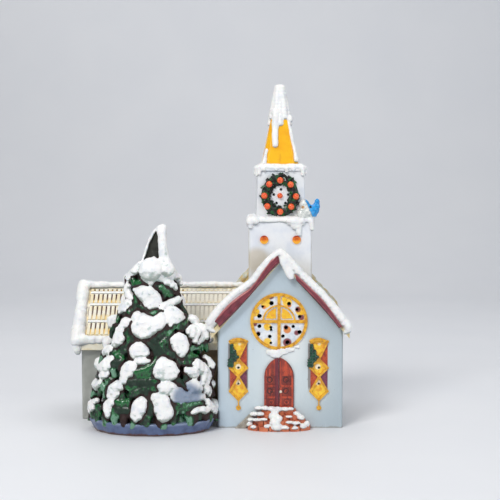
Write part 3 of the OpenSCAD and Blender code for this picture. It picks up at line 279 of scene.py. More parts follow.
def snowGlaze(name="snowGlaze", more=None):  # white, with painted shade: greyer where it faces down, brownish in the folds
    paint = Paint(name, 0.3, 0.2, Subsurface_Weight=0.06, Subsurface_Scale=0.002)
    relief, facing = paint.mark("relief"), paint.mark("facing")
    broad = paint.noise(7, 4.0)
    grain = paint.noise(0.9, rough=0.7)
    paint.ground(broad, 0.4, 0.75, (247, 247, 245), (230, 233, 238))
    # painted shade: grey where the snow faces down
    paint.wash(paint.fade(facing + broad * 0.4, 0.0, -0.55) * 0.85, 154, 162, 166)
    # painted shade: brownish grey in the folds and creases
    paint.wash(paint.fade(relief + broad * 0.5, 0.06, -0.5) * 0.7, 158, 150, 138)
    paint.wash(paint.fade(paint.noise(2.4, 2.0), 0.66, 0.74) * 0.35, 186, 182, 174)
    if more:
        more(paint, broad)
    return paint.finish(0.36 + 0.2 * grain, broad * 1.5 + grain * 0.35, 0.5)


def rakeWash(paint, broad):  # shingles and thin snow that show beyond the front boards
    far = paint.fade(paint.y + broad * 8, 44, 49) * paint.fade(paint.mark("front") + broad * 0.5, 0.2, 0.6)
    golden = paint.mottle(paint.noise(3), 0.42, 0.58, (206, 178, 112), (190, 194, 176))
    paint.colour = paint.blend(far * 0.9, paint.colour, golden)


def wallGlaze():  # pale green grey, palest round the doors, with faint runs and dark lines along the windows
    paint = Paint("wallGlaze", 0.35, 0.28)
    tone = paint.noise(16)
    runs = paint.noise(5, stretch=(1, 1, 0.18))
    front = paint.fade(paint.y, -20, -24)
    paint.ground(paint.x + tone * 22, -22, 46, (192, 208, 220), (178, 192, 200))
    paint.wash(paint.spot(-0.4, 34, 27, 20) * front * 0.75, 222, 232, 234)
    paint.wash(paint.spot(4, 50, 12, 8) * front * 0.6, 240, 243, 243)
    paint.wash(paint.fade(paint.z + tone * 18, 12, 0) * 0.5, 176, 186, 186)
    paint.wash(paint.fade(runs, 0.6, 0.78) * 0.45, 222, 230, 236)
    for x in house["windows"]:
        side = paint.fade(abs(paint.x - x) + runs * 0.8, 6.7, 6.3) * paint.fade(paint.z, 23, 26)
        paint.wash(side * front * paint.fade(paint.z, 53.6, 52.4) * 0.7, 96, 72, 54)
    paint.wash(paint.fade(paint.noise(1.8, 1.0), 0.76, 0.8) * 0.5, 150, 152, 150)
    corner = paint.fade(abs(paint.x) + runs * 0.8, house["half"] - 0.25, house["half"] + 0.25)
    paint.wash(corner * 0.45, 120, 126, 126)
    foot = paint.fade(paint.z + runs * 2.4, 2.6, 1.6)
    paint.wash(foot * 0.6, 142, 132, 118)
    return paint.finish(0.28 + 0.12 * runs, tone + 0.4 * runs, 0.5)


def wingGlaze():  # grey stone wash, tan beside the front block
    paint = Paint("wingGlaze", 0.25, 0.15)
    tone = paint.noise(14)
    runs = paint.noise(4, stretch=(1, 1, 0.15))
    stone = paint.mottle(tone, 0.35, 0.7, (178, 180, 174), (158, 160, 154))
    sand = paint.mottle(runs, 0.35, 0.7, (206, 172, 134), (174, 140, 104))
    paint.colour = paint.blend(paint.fade(paint.x + tone * 4, -50, -45), stone, sand)
    return paint.finish(0.34 + 0.12 * runs, tone + 0.4 * runs, 0.45)


def towerGlaze():  # white, with painted shade: warmer at its foot and in a patch beside the roof, tan along the corners
    paint = Paint("towerGlaze", 0.3, 0.35)
    tone = paint.noise(11)
    runs = paint.noise(4, stretch=(1, 1, 0.2))
    paint.ground(tone, 0.35, 0.7, (238, 240, 243), (222, 227, 236))
    # painted shade: warm grey low on the tower, near the roof
    paint.wash(paint.fade(108 - paint.z + tone * 6, 0, 14) * 0.55, 206, 202, 192)
    # painted shade: a beige patch beside the roof on the left
    paint.wash(paint.spot(-14.5, 104, 7.5, 2.5) * 0.8, 204, 194, 176)
    # painted shade: tan along the rounded corners
    edge = paint.fade(abs(paint.x) + tone * 1.2, 19.6, 20.3)
    paint.wash(edge * 0.5, 206, 190, 160)
    return paint.finish(0.34 + 0.12 * runs, tone + 0.3 * runs, 0.5)


shingles = {
    # along the slope, in shares of its length: where each course starts and ends
    "courses": [(0.08, 0.12), (0.17, 0.33), (0.38, 0.62), (0.67, 0.87)],
    # where the dark upper end of each slot fades out, in shares of the course, for the upper and the lower courses
    "upperDark": (0.56, 0.84), "lowerDark": (0.42, 0.62), "lowerFrom": 0.6,
    "leftEnd": (-124.4, -123.2),  # x where the wing's slats start
    # length down the slope, and the tints: border, slats, slots, their dark upper ends
    "wing": (45.51, ((242, 236, 216), (236, 220, 176)), ((245, 240, 224), (238, 224, 186)),
             (242, 200, 92), (92, 54, 46)),
    "block": (63.44, ((226, 216, 184), (212, 190, 136)), ((206, 172, 84), (170, 140, 66)),
              (226, 182, 70), (92, 66, 36)),
}


def shingleGlaze(roof, top, mid, axis, snowFrom=None):
    # slats pale, the slots between them dark at their upper ends and coloured lower down
    length, plain, slat, slot, deep = shingles[roof]
    paint = Paint(roof + "Shingles", 0.35, 0.15)
    out = abs(getattr(paint, axis) - mid)
    height = (paint.z - top + out * house["slope"]) * cos(pitch)
    share = out * (1 / cos(pitch) / length)
    dark = field = 0.0
    for start, end in shingles["courses"]:
        first, last = [start + (end - start) * reach for reach in
                       shingles["upperDark" if start < shingles["lowerFrom"] else "lowerDark"]]
        within = paint.fade(share, start - 0.004, start + 0.002)
        dark = within - paint.fade(share, first, last) + dark
        field = within - paint.fade(share, end - 0.002, end + 0.004) + field
    field = field * paint.fade(height, -0.35, -0.1) * paint.fade(paint.x, *shingles["leftEnd"])
    tone = paint.noise(5)
    hollow = paint.blend(dark.over(0.0), shade(slot), shade(deep))
    raised = paint.mottle(tone, 0.4, 0.65, *slat)
    paint.colour = paint.blend(1 - paint.fade(height, 0.25, 0.65), raised, hollow)
    cover = paint.noise(9, 2.0) * 0.3
    if snowFrom:
        cover = paint.fade(paint.x, *snowFrom) * 0.75 + cover
    paint.wash(paint.fade(cover + tone * 0.5, 0.45, 0.75) * 0.8, 242, 238, 226)
    border = paint.mottle(tone, 0.4, 0.65, *plain)
    paint.colour = paint.blend(field, border, paint.colour)
    fine = paint.noise(1.2)
    return paint.finish(0.34 + 0.15 * fine, tone + 0.4 * fine, 0.3)


def boardGlaze():  # maroon, pinkish as a painted highlight where it faces up, dark as painted shade along the lower edge, where it faces down
    paint = Paint("boardGlaze", 0.45, 0.12)
    facing = paint.mark("facing")
    tone = paint.noise(4)
    runs = paint.noise(1.8, stretch=(0.5, 1, 0.5))
    paint.ground(tone, 0.4, 0.66, (126, 44, 60), (98, 28, 44))
    # painted highlight: pinkish on the faces that look up
    paint.wash(paint.fade(facing + runs * 0.3, 0.22, 0.55) * 0.75, 196, 122, 118)
    # painted shade: dark on the faces that look down
    paint.wash(paint.fade(facing - runs * 0.2, -0.3, -0.7) * 0.85, 48, 14, 26)
    return paint.finish(0.24 + 0.15 * runs, tone + 0.4 * runs, 0.25)


rose = {
    "x": -0.9, "z": 66.6, "radius": 17.65,
    # patches of each tint: x and z from the middle and their size, in shares of the radius
    "patches": {
        (252, 206, 44): [(-0.47, 0.64, 0.17), (-0.81, 0.29, 0.12), (-0.26, 0.22, 0.14), (0.22, 0.22, 0.14),
                         (0.29, 0.67, 0.16), (0.74, 0.36, 0.16), (-0.4, -0.19, 0.13), (-0.4, -0.71, 0.13)],
        (222, 128, 40): [(0.29, -0.29, 0.13), (-0.52, 0.5, 0.07), (0.36, 0.56, 0.07)],
        (126, 30, 42): [(-0.28, 0.88, 0.1), (0.66, 0.42, 0.1), (0.78, 0.14, 0.1), (0.24, -0.2, 0.08),
                        (0.29, -0.74, 0.15), (-0.84, -0.09, 0.08), (-0.72, -0.42, 0.07), (0.62, -0.4, 0.09)],
    },
}


def roseGlaze():  # white panes with amber patches and maroon edges round some holes
    paint = Paint("roseGlaze", 0.4, 0.1)
    radius = rose["radius"]
    tone = paint.noise(3, 2.0)
    paint.ground(tone, 0.4, 0.7, (236, 240, 244), (210, 219, 230))
    for tint, places in rose["patches"].items():
        for x, z, size in places:
            paint.wash(paint.spot(rose["x"] + x * radius, rose["z"] + z * radius, size * radius) * 0.95, *tint)
    return paint.finish(0.25 + 0.1 * tone, tone, 0.15)


def rimmedAmber():  # amber panes, cream round the holes, and a painted highlight under the point
    paint = Paint("rimmedAmber", 0.4, 0.1)
    tone = paint.noise(2.4)
    paint.ground(tone, 0.38, 0.66, (254, 214, 54), (236, 164, 30))
    for x in house["windows"]:
        for z in (38.4, 28.6):
            paint.wash(paint.spot(x, z, 1.7, 0.3) * 0.9, 250, 240, 214)
        # painted highlight: a pale spot under the point of each window
        paint.wash(paint.spot(x + 0.8, 52.6, 0.9, 0.6) * 0.8, 252, 244, 206)
    return paint.finish(0.22 + 0.12 * tone, tone, 0.12)


def shardGlaze():  # deep green, brown where it meets the wall
    paint = Paint("shardGlaze", 0.5, 0.08)
    tone = paint.noise(3)
    paint.ground(tone, 0.4, 0.65, (8, 72, 48), (5, 40, 30))
    paint.wash(paint.fade(paint.mark("front") + tone * 0.15, 0.92, 0.76), 34, 20, 20)
    return paint.finish(0.22 + 0.1 * tone, tone, 0.15)


door = {
    "carving": (-25.75, -25.5),  # y of the raised work and of the hollows
    "rings": [(-6.6, 23.4), (3.4, 30.4), (3.4, 23.4), (-6.6, 30.4)],  # x and z of the carved rings
    "seam": -1.9, "middle": -1.2,
}


def doorGlaze():  # brown red on the raised work, with painted shade in the carving and along the middle, and dark round the edge
    paint = Paint("doorGlaze", 0.4, 0.12)
    tone = paint.noise(3, 4.0, stretch=(1.6, 1, 0.6))
    carved = paint.fade(paint.y + tone * 0.25, *door["carving"])
    paint.ground(tone, 0.38, 0.62, (196, 74, 42), (150, 46, 30))
    paint.wash(paint.fade(paint.noise(1.5, 2.0), 0.6, 0.66) * 0.7, 92, 26, 26)
    # painted shade: dark in the carved hollows
    paint.wash(carved * 0.55, 96, 28, 26)
    grooves = paint.noise(1.1, 1.0, stretch=(1, 1, 0.06))
    paint.wash(paint.fade(grooves, 0.6, 0.66) * 0.6, 84, 26, 26)
    for x, z in door["rings"]:
        paint.wash((paint.spot(x, z, 1.9, 0.2) - paint.spot(x, z, 1.2, 0.2)) * 0.9, 62, 16, 20)
    # painted shade: dark along the middle, between the leaves
    seam = 1 - paint.fade(abs(paint.x - door["seam"]), 1.1, 1.9)
    paint.wash(seam * paint.fade(paint.z + tone * 5, 12, 24) * 0.9, 104, 28, 46)
    arch = paint.fade(paint.z, 33, 46) * 5.6
    edge = paint.fade(abs(paint.x - door["middle"]) + arch + tone * 0.5, 9.0, 9.6)
    paint.wash(edge * 0.8, 60, 18, 22)
    return paint.finish(0.28 + 0.15 * tone, tone, 0.3)


def brickGlaze():
    paint = Paint("brickGlaze", 0.3, 0.15)
    tone = paint.noise(4)
    fine = paint.noise(0.8)
    paint.ground(tone, 0.36, 0.66, (222, 128, 88), (184, 86, 52))
    paint.wash(paint.fade(paint.noise(2.6, 2.0), 0.6, 0.66) * 0.8, 112, 44, 36)
    return paint.finish(0.34 + 0.2 * fine, tone + 0.5 * fine, 0.5)


def boughGlaze():  # dark brown hollows, with painted shade deepest in them; sprays from deep to frosted green
    paint = Paint("boughGlaze", coatRough=0.1)
    relief, tone = paint.mark("relief"), paint.mark("tone")
    light = paint.noise(2.6)
    strokes = paint.noise(1.3, 2.0, stretch=(1, 1, 0.45))
    # the level rises a little on ridges, a touch of painted light
    level = tone + light * 0.5 + relief * 0.14 - 0.2
    paint.ground(level, 0.4, 0.5, (40, 14, 12), (5, 40, 22))
    paint.wash(paint.fade(level + strokes * 0.5, 0.9, 1.02), 12, 96, 42)
    paint.wash(paint.fade(level + strokes * 0.6, 1.15, 1.24) * 0.85, 112, 158, 132)
    # painted shade: near black in the hollows
    paint.wash(paint.fade(relief + light * 0.4, 0.1, -0.5) * 0.92, 26, 10, 8)
    paint.wash(paint.fade(paint.z, 100, 106) * 0.8, 24, 34, 22)
    glossy = paint.fade(level, 0.5, 0.75) * paint.fade(relief, -0.4, 0.2)
    return paint.finish(0.62 - 0.36 * glossy, strokes + 0.4 * light, 0.4, 0.03 + 0.5 * glossy)


def firSnowGlaze():  # thick white clumps, with painted shade, grey green, where they face down at their lower edges, and paler grey green where the glaze thins
    paint = Paint("firSnowGlaze", 0.35, 0.15, Subsurface_Weight=0.05, Subsurface_Scale=0.002)
    relief, facing = paint.mark("relief"), paint.mark("facing")
    broad = paint.noise(5, 4.0)
    grain = paint.noise(0.9, rough=0.7)
    paint.ground(broad, 0.45, 0.75, (250, 250, 249), (230, 234, 240))
    # painted shade: grey green where the clumps face down
    paint.wash(paint.fade(facing - broad * 0.5, -0.3, -0.75) * 0.85, 146, 160, 148)
    thin = paint.fade(paint.noise(4.2) - relief * 0.12 - facing * 0.12, 0.56, 0.68)
    paint.wash(thin * 0.6, 166, 190, 182)
    # painted shade: dark grey green in the creases
    paint.wash(paint.fade(relief + broad * 0.5, 0.05, -0.5) * 0.85, 92, 100, 88)
    ledge = paint.spot(-56.5, 23.6, 8.5, 2.5) * paint.fade(paint.z, 18.5, 20.5)
    paint.wash(ledge * 0.85, 106, 126, 156)
    return paint.finish(0.3 + 0.2 * grain, broad * 1.4 + grain * 0.3, 0.6)


def rimGlaze():  # slate blue rim over a thin bare brown foot
    paint = Paint("rimGlaze", 0.5, 0.1)
    broad = paint.noise(6, 4.0)
    runs = paint.noise(2.5)
    paint.ground(broad, 0.35, 0.7, (88, 106, 146), (62, 78, 118))
    paint.wash(paint.fade(paint.z + broad * 6, 8.5, 11.5) * 0.7, 150, 164, 190)
    paint.wash(paint.fade(broad * 3.2 + runs * 1.5 - paint.z, 0.2, 1.4), 84, 44, 36)
    return paint.finish(0.24 + 0.15 * runs, broad + 0.4 * runs, 0.5)


def spireGlaze():
    paint = Paint("spireGlaze", 0.4, 0.1)
    runs = paint.noise(3, stretch=(1, 1, 0.15))
    tone = paint.noise(8)
    paint.ground(tone, 0.35, 0.7, (253, 192, 18), (248, 172, 12))
    paint.wash(paint.fade(runs, 0.62, 0.76) * 0.35, 216, 132, 20)
    return paint.finish(0.28 + 0.12 * runs, tone + 0.4 * runs, 0.3)


def roundelGlaze():  # orange gold with painted light and shade of a recess: yellower low down, dark red along the upper edge
    paint = Paint("roundelGlaze", 0.4, 0.1)
    tone = paint.noise(1.6, 2.0)
    # painted light: yellower towards the lower edge
    paint.ground(paint.z + tone * 1.2, 116.2, 117.6, (250, 178, 50), (236, 122, 34))
    # painted shade: dark red along the upper edge
    paint.wash(paint.fade(paint.z + tone, 118.4, 119.2), 168, 46, 22)
    return paint.finish(0.3 + 0.1 * tone, tone, 0.1)


def leafGlaze():
    paint = Paint("leafGlaze", 0.2, 0.12)
    tone = paint.noise(2.4)
    paint.ground(tone, 0.5, 0.62, (10, 16, 12), (14, 92, 38))
    return paint.finish(0.3 + 0.2 * tone, tone, 0.2)


def berryGlaze():
    paint = Paint("berryGlaze", 0.5, 0.08)
    tone = paint.noise(0.9, 2.0)
    paint.ground(tone, 0.4, 0.6, (234, 66, 24), (250, 118, 52))
    return paint.finish(0.24 + 0.15 * tone, tone, 0.08)


def birdGlaze():  # sky blue back over a pale breast and face, with a dark eye and a tan spot before it
    paint = Paint("birdGlaze", 0.5, 0.08)
    tone = paint.noise(1.4)
    feathers = paint.noise(1.1, stretch=(0.5, 1, 1.4))
    line = paint.x - 15.6 + (paint.z - 140.8) * 0.446 + tone * 0.8
    breast = paint.mottle(tone, 0.4, 0.7, (230, 232, 228), (178, 186, 184))
    back = paint.mottle(feathers, 0.4, 0.65, (18, 160, 230), (8, 128, 206))
    blue = paint.fade(line, 0.1, 0.5) * paint.fade(paint.z + tone * 1.5, 131, 132)
    paint.colour = paint.blend(blue, breast, back)
    paint.wash((1 - paint.fade(abs(line - 0.1), 0.15, 0.4)) * 0.5, 96, 104, 112)
    paint.wash(paint.spot(18.6, 137.0, 0.75, 0.2), 24, 34, 54)
    paint.wash(paint.spot(13.9, 136.8, 0.9, 0.35) * 0.85, 186, 128, 44)
    return paint.finish(0.25 + 0.15 * tone, feathers, 0.18)


def metalFinish(name, main, second, rough):
    paint = Paint(name, Metallic=1.0)
    tone = paint.noise(1.5)
    brushed = paint.noise(0.5, 2.0, stretch=(1, 0.15, 1))
    paint.ground(tone, 0.3, 0.7, main, second)
    return paint.finish(rough + 0.15 * brushed, brushed, 0.03)


def socketPlastic():
    paint = Paint("socketPlastic")
    tone = paint.noise(1.2)
    paint.ground(tone, 0.3, 0.7, (238, 236, 228), (224, 220, 208))
    return paint.finish(0.42 + 0.12 * tone, tone, 0.05)


def blackGlass():
    paint, tone = blendedPaint("blackGlass", 1, (22, 22, 24), (44, 42, 44), coat=0.5)
    return paint.finish(0.15 + 0.1 * tone)


def bulbGlass():
    paint, tone = blendedPaint("bulbGlass", 4, (255, 255, 255), (246, 248, 250), Transmission_Weight=1.0, IOR=1.45)
    return paint.finish(0.02 + 0.05 * tone)


print("paints ready")


# clay: lumps rolled from balls, and softened copies of CAD solids

def applyModifier(piece, kind, **settings):
    modifier = piece.modifiers.new(kind.title(), kind)
    for name, value in settings.items():
        setattr(modifier, name, value)
    pick(piece)
    bpy.ops.object.modifier_apply(modifier=modifier.name)


def ball(place, radius, stretch=(1, 1, 1)):
    size = [radius * share * mm for share in stretch]
    return Matrix.Translation(Vector(place) * mm) @ Matrix.Diagonal((*size, 1))


def chain(points, stretch=(1, 1, 1), wobble=0.12, spread=0.5):
    # balls along a line whose points hold x, y, z and a radius
    balls = []
    for start, end in zip(points, points[1:]):
        gap = (Vector(end[:3]) - Vector(start[:3])).length
        count = max(1, round(gap / (spread * (start[3] + end[3]) / 2)))
        for i in range(count):
            place = [a + (b - a) * i / count for a, b in zip(start, end)]
            balls.append(ball(place[:3], place[3] * dice.uniform(1 - wobble, 1 + wobble), stretch))
    balls.append(ball(points[-1][:3], points[-1][3], stretch))
    return balls


def clay(name, balls, voxel, smoothing, lumps=0.0, lumpSize=3.0, kind="CLOUDS", calm=2):
    # one piece of balls that run together; voxel, lumps and their size in mm, smoothing and calm in rounds
    bpy.ops.mesh.primitive_ico_sphere_add(subdivisions=2, radius=1)
    pattern = bpy.context.object
    parts = []
    for matrix in balls:
        part = bpy.data.objects.new(name, pattern.data.copy())
        part.data.transform(matrix)
        bpy.context.collection.objects.link(part)
        parts.append(part)
    bpy.data.objects.remove(pattern)
    pick(*parts)
    bpy.ops.object.join()
    piece = bpy.context.object
    piece.name = name
    applyModifier(piece, "REMESH", mode="VOXEL", voxel_size=voxel * mm)
    applyModifier(piece, "SMOOTH", factor=0.5, iterations=smoothing)
    if lumps:
        cloud = bpy.data.textures.new(name + "Lumps", kind)
        cloud.noise_scale = lumpSize * mm
        if kind == "CLOUDS":
            cloud.noise_depth = 2
        applyModifier(piece, "DISPLACE", texture=cloud, strength=lumps * mm, mid_level=0.5, texture_coords="LOCAL")
        applyModifier(piece, "SMOOTH", factor=0.5, iterations=calm)
    pick(piece)
    bpy.ops.object.shade_smooth()
    return piece


def sides(outline):
    return list(zip(outline, outline[1:] + outline[:1]))


def edgeGap(outline, x, z):  # distance to the outline from within, or less than 0 outside it
    inside, gap = False, 99.0
    for (x0, z0), (x1, z1) in sides(outline):
        if (z0 > z) != (z1 > z) and x < x0 + (x1 - x0) * (z - z0) / (z1 - z0):
            inside = not inside
        share = ((x - x0) * (x1 - x0) + (z - z0) * (z1 - z0)) / ((x1 - x0) ** 2 + (z1 - z0) ** 2)
        share = min(max(share, 0), 1)
        gap = min(gap, sqrt((x0 + (x1 - x0) * share - x) ** 2 + (z0 + (z1 - z0) * share - z) ** 2))
    return gap if inside else -gap


def puff(outline, deep, most=4.5, seat=None, bulge=0.7, swell=0.95):
    # balls that fill an outline of x and z, thickest in its middle; seat gives each one its place in space
    xs, zs = [x for x, z in outline], [z for x, z in outline]
    area = abs(sum(x0 * z1 - x1 * z0 for (x0, z0), (x1, z1) in sides(outline))) / 2
    rim = sum(sqrt((x1 - x0) ** 2 + (z1 - z0) ** 2) for (x0, z0), (x1, z1) in sides(outline))
    step = min(1.8, max(0.5 + swell * 0.3, area / rim))
    balls = []
    z = min(zs) + step / 2
    while z < max(zs):
        x = min(xs) + step / 2
        while x < max(xs):
            gap = edgeGap(outline, x, z)
            if gap > 0.3 * step:
                radius = min(gap, most) + swell
                balls.append(ball((seat or onFir)(x, z), 1, (radius, min(radius, 2.4) * bulge + deep, radius)))
            x += step
        z += step
    return balls


def markPoints(piece, name, values):  # one number for each point, for the piece's paint
    marks = piece.data.attributes.new(name, "FLOAT", "POINT")
    marks.data.foreach_set("value", values)


def markRelief(piece, rounds, depth):  # how far each point stands out of the softened piece
    calm = piece.copy()
    calm.data = piece.data.copy()
    bpy.context.collection.objects.link(calm)
    applyModifier(calm, "SMOOTH", factor=1.0, iterations=rounds)
    points = zip(piece.data.vertices, calm.data.vertices)
    markPoints(piece, "relief", [(point.co - soft.co).dot(point.normal) / (depth * mm) for point, soft in points])
    bpy.data.objects.remove(calm)
    pick(piece)


def markFacing(piece):  # 1 where the surface faces up, -1 where it faces down
    markPoints(piece, "facing", [point.normal.z for point in piece.data.vertices])


def markTone(piece, toned, soft):  # each point takes the tone of the balls whose surface is nearest
    sizes = [sum(column.length for column in matrix.to_3x3().col) / 3 for matrix, tone in toned]
    tree = KDTree(len(toned))
    for i, (matrix, tone) in enumerate(toned):
        tree.insert(matrix.translation, i)
    tree.balance()
    values = []
    for point in piece.data.vertices:
        near = [(exp((sizes[i] - distance) / (soft * mm)), toned[i][1])
                for place, i, distance in tree.find_n(point.co, 12)]
        values.append(sum(pull * tone for pull, tone in near) / max(sum(pull for pull, tone in near), 1e-9))
    markPoints(piece, "tone", values)


def trim(piece, place, normal):  # cuts off what lies behind a plane and closes the cut
    editAll(piece)
    bpy.ops.mesh.bisect(plane_co=Vector(place) * mm, plane_no=normal, use_fill=True, clear_inner=True)
    mode("OBJECT")


def softCopy(node, name, width, shortest):
    # copy of a CAD solid with the long edges rounded, as slip-cast clay has them
    piece = nodes[node].copy()
    piece.data = nodes[node].data.copy()
    piece.name = name
    piece.parent = None
    bpy.context.collection.objects.link(piece)
    piece.matrix_world = Matrix.Identity(4)
    editAll(piece)
    bpy.ops.mesh.remove_doubles(threshold=0.00001)
    bpy.ops.mesh.dissolve_limited(angle_limit=radians(1), use_dissolve_boundaries=False)
    bpy.ops.mesh.select_mode(type="EDGE")
    bpy.ops.mesh.select_all(action="DESELECT")
    bpy.ops.mesh.edges_select_sharp(sharpness=radians(32))
    mode("OBJECT")
    points = piece.data.vertices
    for edge in piece.data.edges:
        if (points[edge.vertices[0]].co - points[edge.vertices[1]].co).length < shortest * mm:
            edge.select = False
    mode("EDIT")
    bpy.ops.mesh.bevel(offset=width * mm, segments=2, profile=0.5, clamp_overlap=True)
    mode("OBJECT")
    bpy.ops.object.shade_smooth_by_angle(angle=radians(34))
    applyModifier(piece, "WEIGHTED_NORMAL", keep_sharp=True)
    return piece


def rideOn(piece, material, slotName, *replaced):  # paints a piece, gives it its body and hides the CAD nodes it replaces
    piece.data.materials.clear()
    piece.data.materials.append(material)
    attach(piece, "church")
    if replaced:
        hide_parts(*replaced)


def laySnow(piece, node, depth=1.2, rounds=20, material=None):  # depth: of its folds, in mm, 0 for none
    if depth:
        markRelief(piece, rounds, depth)
    markFacing(piece)
    rideOn(piece, material or snow, "snow_glaze", node)


def repaint(material, *names):  # a CAD node keeps its shape and gets a finish
    for name in names:
        mesh = nodes[name].data
        if not mesh.materials:
            mesh.materials.append(material)
        for i in range(len(mesh.materials)):
            mesh.materials[i] = material


def inSteeple(matrix):  # turned a little, as the belfry and the spire stand on the tower
    return Matrix.Rotation(radians(house["turn"]), 4, "Z") @ matrix


def quarterTurns(balls, turns):
    return [Matrix.Rotation(turns * pi / 2, 4, "Z") @ matrix for matrix in balls]


placeCamera()
buildStudio()
print("camera and studio ready")

snow = snowGlaze()
white = plainGlaze("whiteGlaze")
gold = plainGlaze("goldGlaze")


# house walls, roofs and boards

rakeBoards = {
    "front": -28.4, "thick": 1.3, "columns": 28,
    # x and z along the upper and the lower edge, from the peak down
    "left": ([(-1.7, 108.6), (-6.6, 104.6), (-10.8, 98.4), (-14.5, 92.6), (-18.7, 87.4), (-24.8, 83.4),
              (-30.9, 78.6), (-37.0, 72.2), (-41.2, 67.0)],
             [(-0.6, 103.2), (-6.6, 97.4), (-11.4, 91.4), (-18.7, 82.8), (-24.8, 76.0), (-30.9, 69.7),
              (-35.8, 64.9), (-39.6, 61.4)]),
    "right": ([(8.6, 96.6), (11.7, 94.0), (17.7, 88.6), (23.8, 83.2), (29.9, 75.9), (34.2, 69.6), (38.6, 62.6)],
              [(9.6, 92.2), (14.7, 87.0), (20.8, 80.4), (26.9, 73.6), (32.9, 66.7), (37.2, 60.8)]),
    # across: share of the height and how far it stands out
    "profile": [(0, 0), (0.1, 0.7), (0.24, 0.95), (0.34, 0.6), (0.5, 0.75), (0.72, 1.0), (0.9, 0.7), (1, 0)],
}


def along(points, share):  # the point at a share of a line's length
    spans = [(Vector(end) - Vector(start)).length for start, end in zip(points, points[1:])]
    way = share * sum(spans)
    for start, end, span in zip(points, points[1:], spans):
        if way <= span:
            break
        way -= span
    return Vector(start).lerp(Vector(end), min(way / span, 1))


def moulding(name, upper, lower):  # a front board between its upper and its lower edge
    profile = rakeBoards["profile"]
    bpy.ops.mesh.primitive_grid_add(x_subdivisions=rakeBoards["columns"], y_subdivisions=len(profile) - 1, size=1)
    piece = bpy.context.object
    piece.name = name
    for point in piece.data.vertices:
        share, out = profile[round((point.co.y + 0.5) * (len(profile) - 1))]
        place = along(lower, point.co.x + 0.5).lerp(along(upper, point.co.x + 0.5), share)
        out *= min(1, 12 * (0.5 - abs(point.co.x)) + 0.3)
        point.co = Vector((place.x, rakeBoards["front"] - out, place.y)) * mm
    applyModifier(piece, "SUBSURF", levels=1, render_levels=1)
    editAll(piece)
    bpy.ops.mesh.extrude_region_move(TRANSFORM_OT_translate={"value": (0, rakeBoards["thick"] * mm, 0)})
    bpy.ops.mesh.select_all(action="SELECT")
    bpy.ops.mesh.normals_make_consistent(inside=False)
    mode("OBJECT")
    bpy.ops.object.shade_smooth_by_angle(angle=radians(50))
    return piece


def buildHouse():
    # node, name, width of the rounded edges, shortest edge that is rounded, slot and glaze
    soft = [
        ("front_block", "frontBlock", 0.7, 2.5, "white_glaze", wallGlaze()),
        ("wing", "wingWalls", 0.7, 2.5, "grey_glaze", wingGlaze()),
        ("tower", "towerWalls", 0.6, 2.5, "white_glaze", towerGlaze()),
        ("belfry", "belfryWalls", 0.6, 2.5, "white_glaze", white),
        ("cornice", "corniceSlab", 0.5, 0, "grey_glaze", white),
        ("spire", "spireFaces", 0.4, 0, "yellow_glaze", spireGlaze()),
        ("steps", "brickSteps", 0.35, 0.5, "brick_glaze", brickGlaze()),
        ("steps_kerb", "stepsKerb", 0.4, 0, "grey_glaze", plainGlaze("kerbGlaze")),
    ]
    for node, name, width, shortest, slotName, material in soft:
        rideOn(softCopy(node, name, width, shortest), material, slotName, node)
    for side in ("left", "right"):
        board = moulding(side + "RakeBoard", *rakeBoards[side])
        markFacing(board)
        rideOn(board, boardGlaze(), "maroon_glaze", "rake_board_" + side)
    repaint(shingleGlaze("wing", house["wingTop"], house["wingMid"], "y", (-66, -50)),
            "wing_roof_front", "wing_roof_back")
    repaint(shingleGlaze("block", house["top"], 0.0, "x"), "block_roof_left", "block_roof_right")
    repaint(snow, "course_snow")


def buildWindows():
    repaint(gold, "rose_tracery", "window_leading")
    repaint(plainGlaze("amberGlaze"), "rose_amber")
    repaint(rimmedAmber(), "window_amber")
    repaint(roseGlaze(), "rose_panes")
    repaint(plainGlaze("greenPane"), "window_green")
    repaint(plainGlaze("redPane"), "window_red")
    repaint(plainGlaze("plumPane"), "window_plum")
    repaint(roundelGlaze(), "tower_roundels")
    repaint(doorGlaze(), "door_left", "door_right")
    repaint(plainGlaze("ivoryGlaze"), "door_knob")


buildHouse()
buildWindows()
print("house painted")


# snow on the roofs

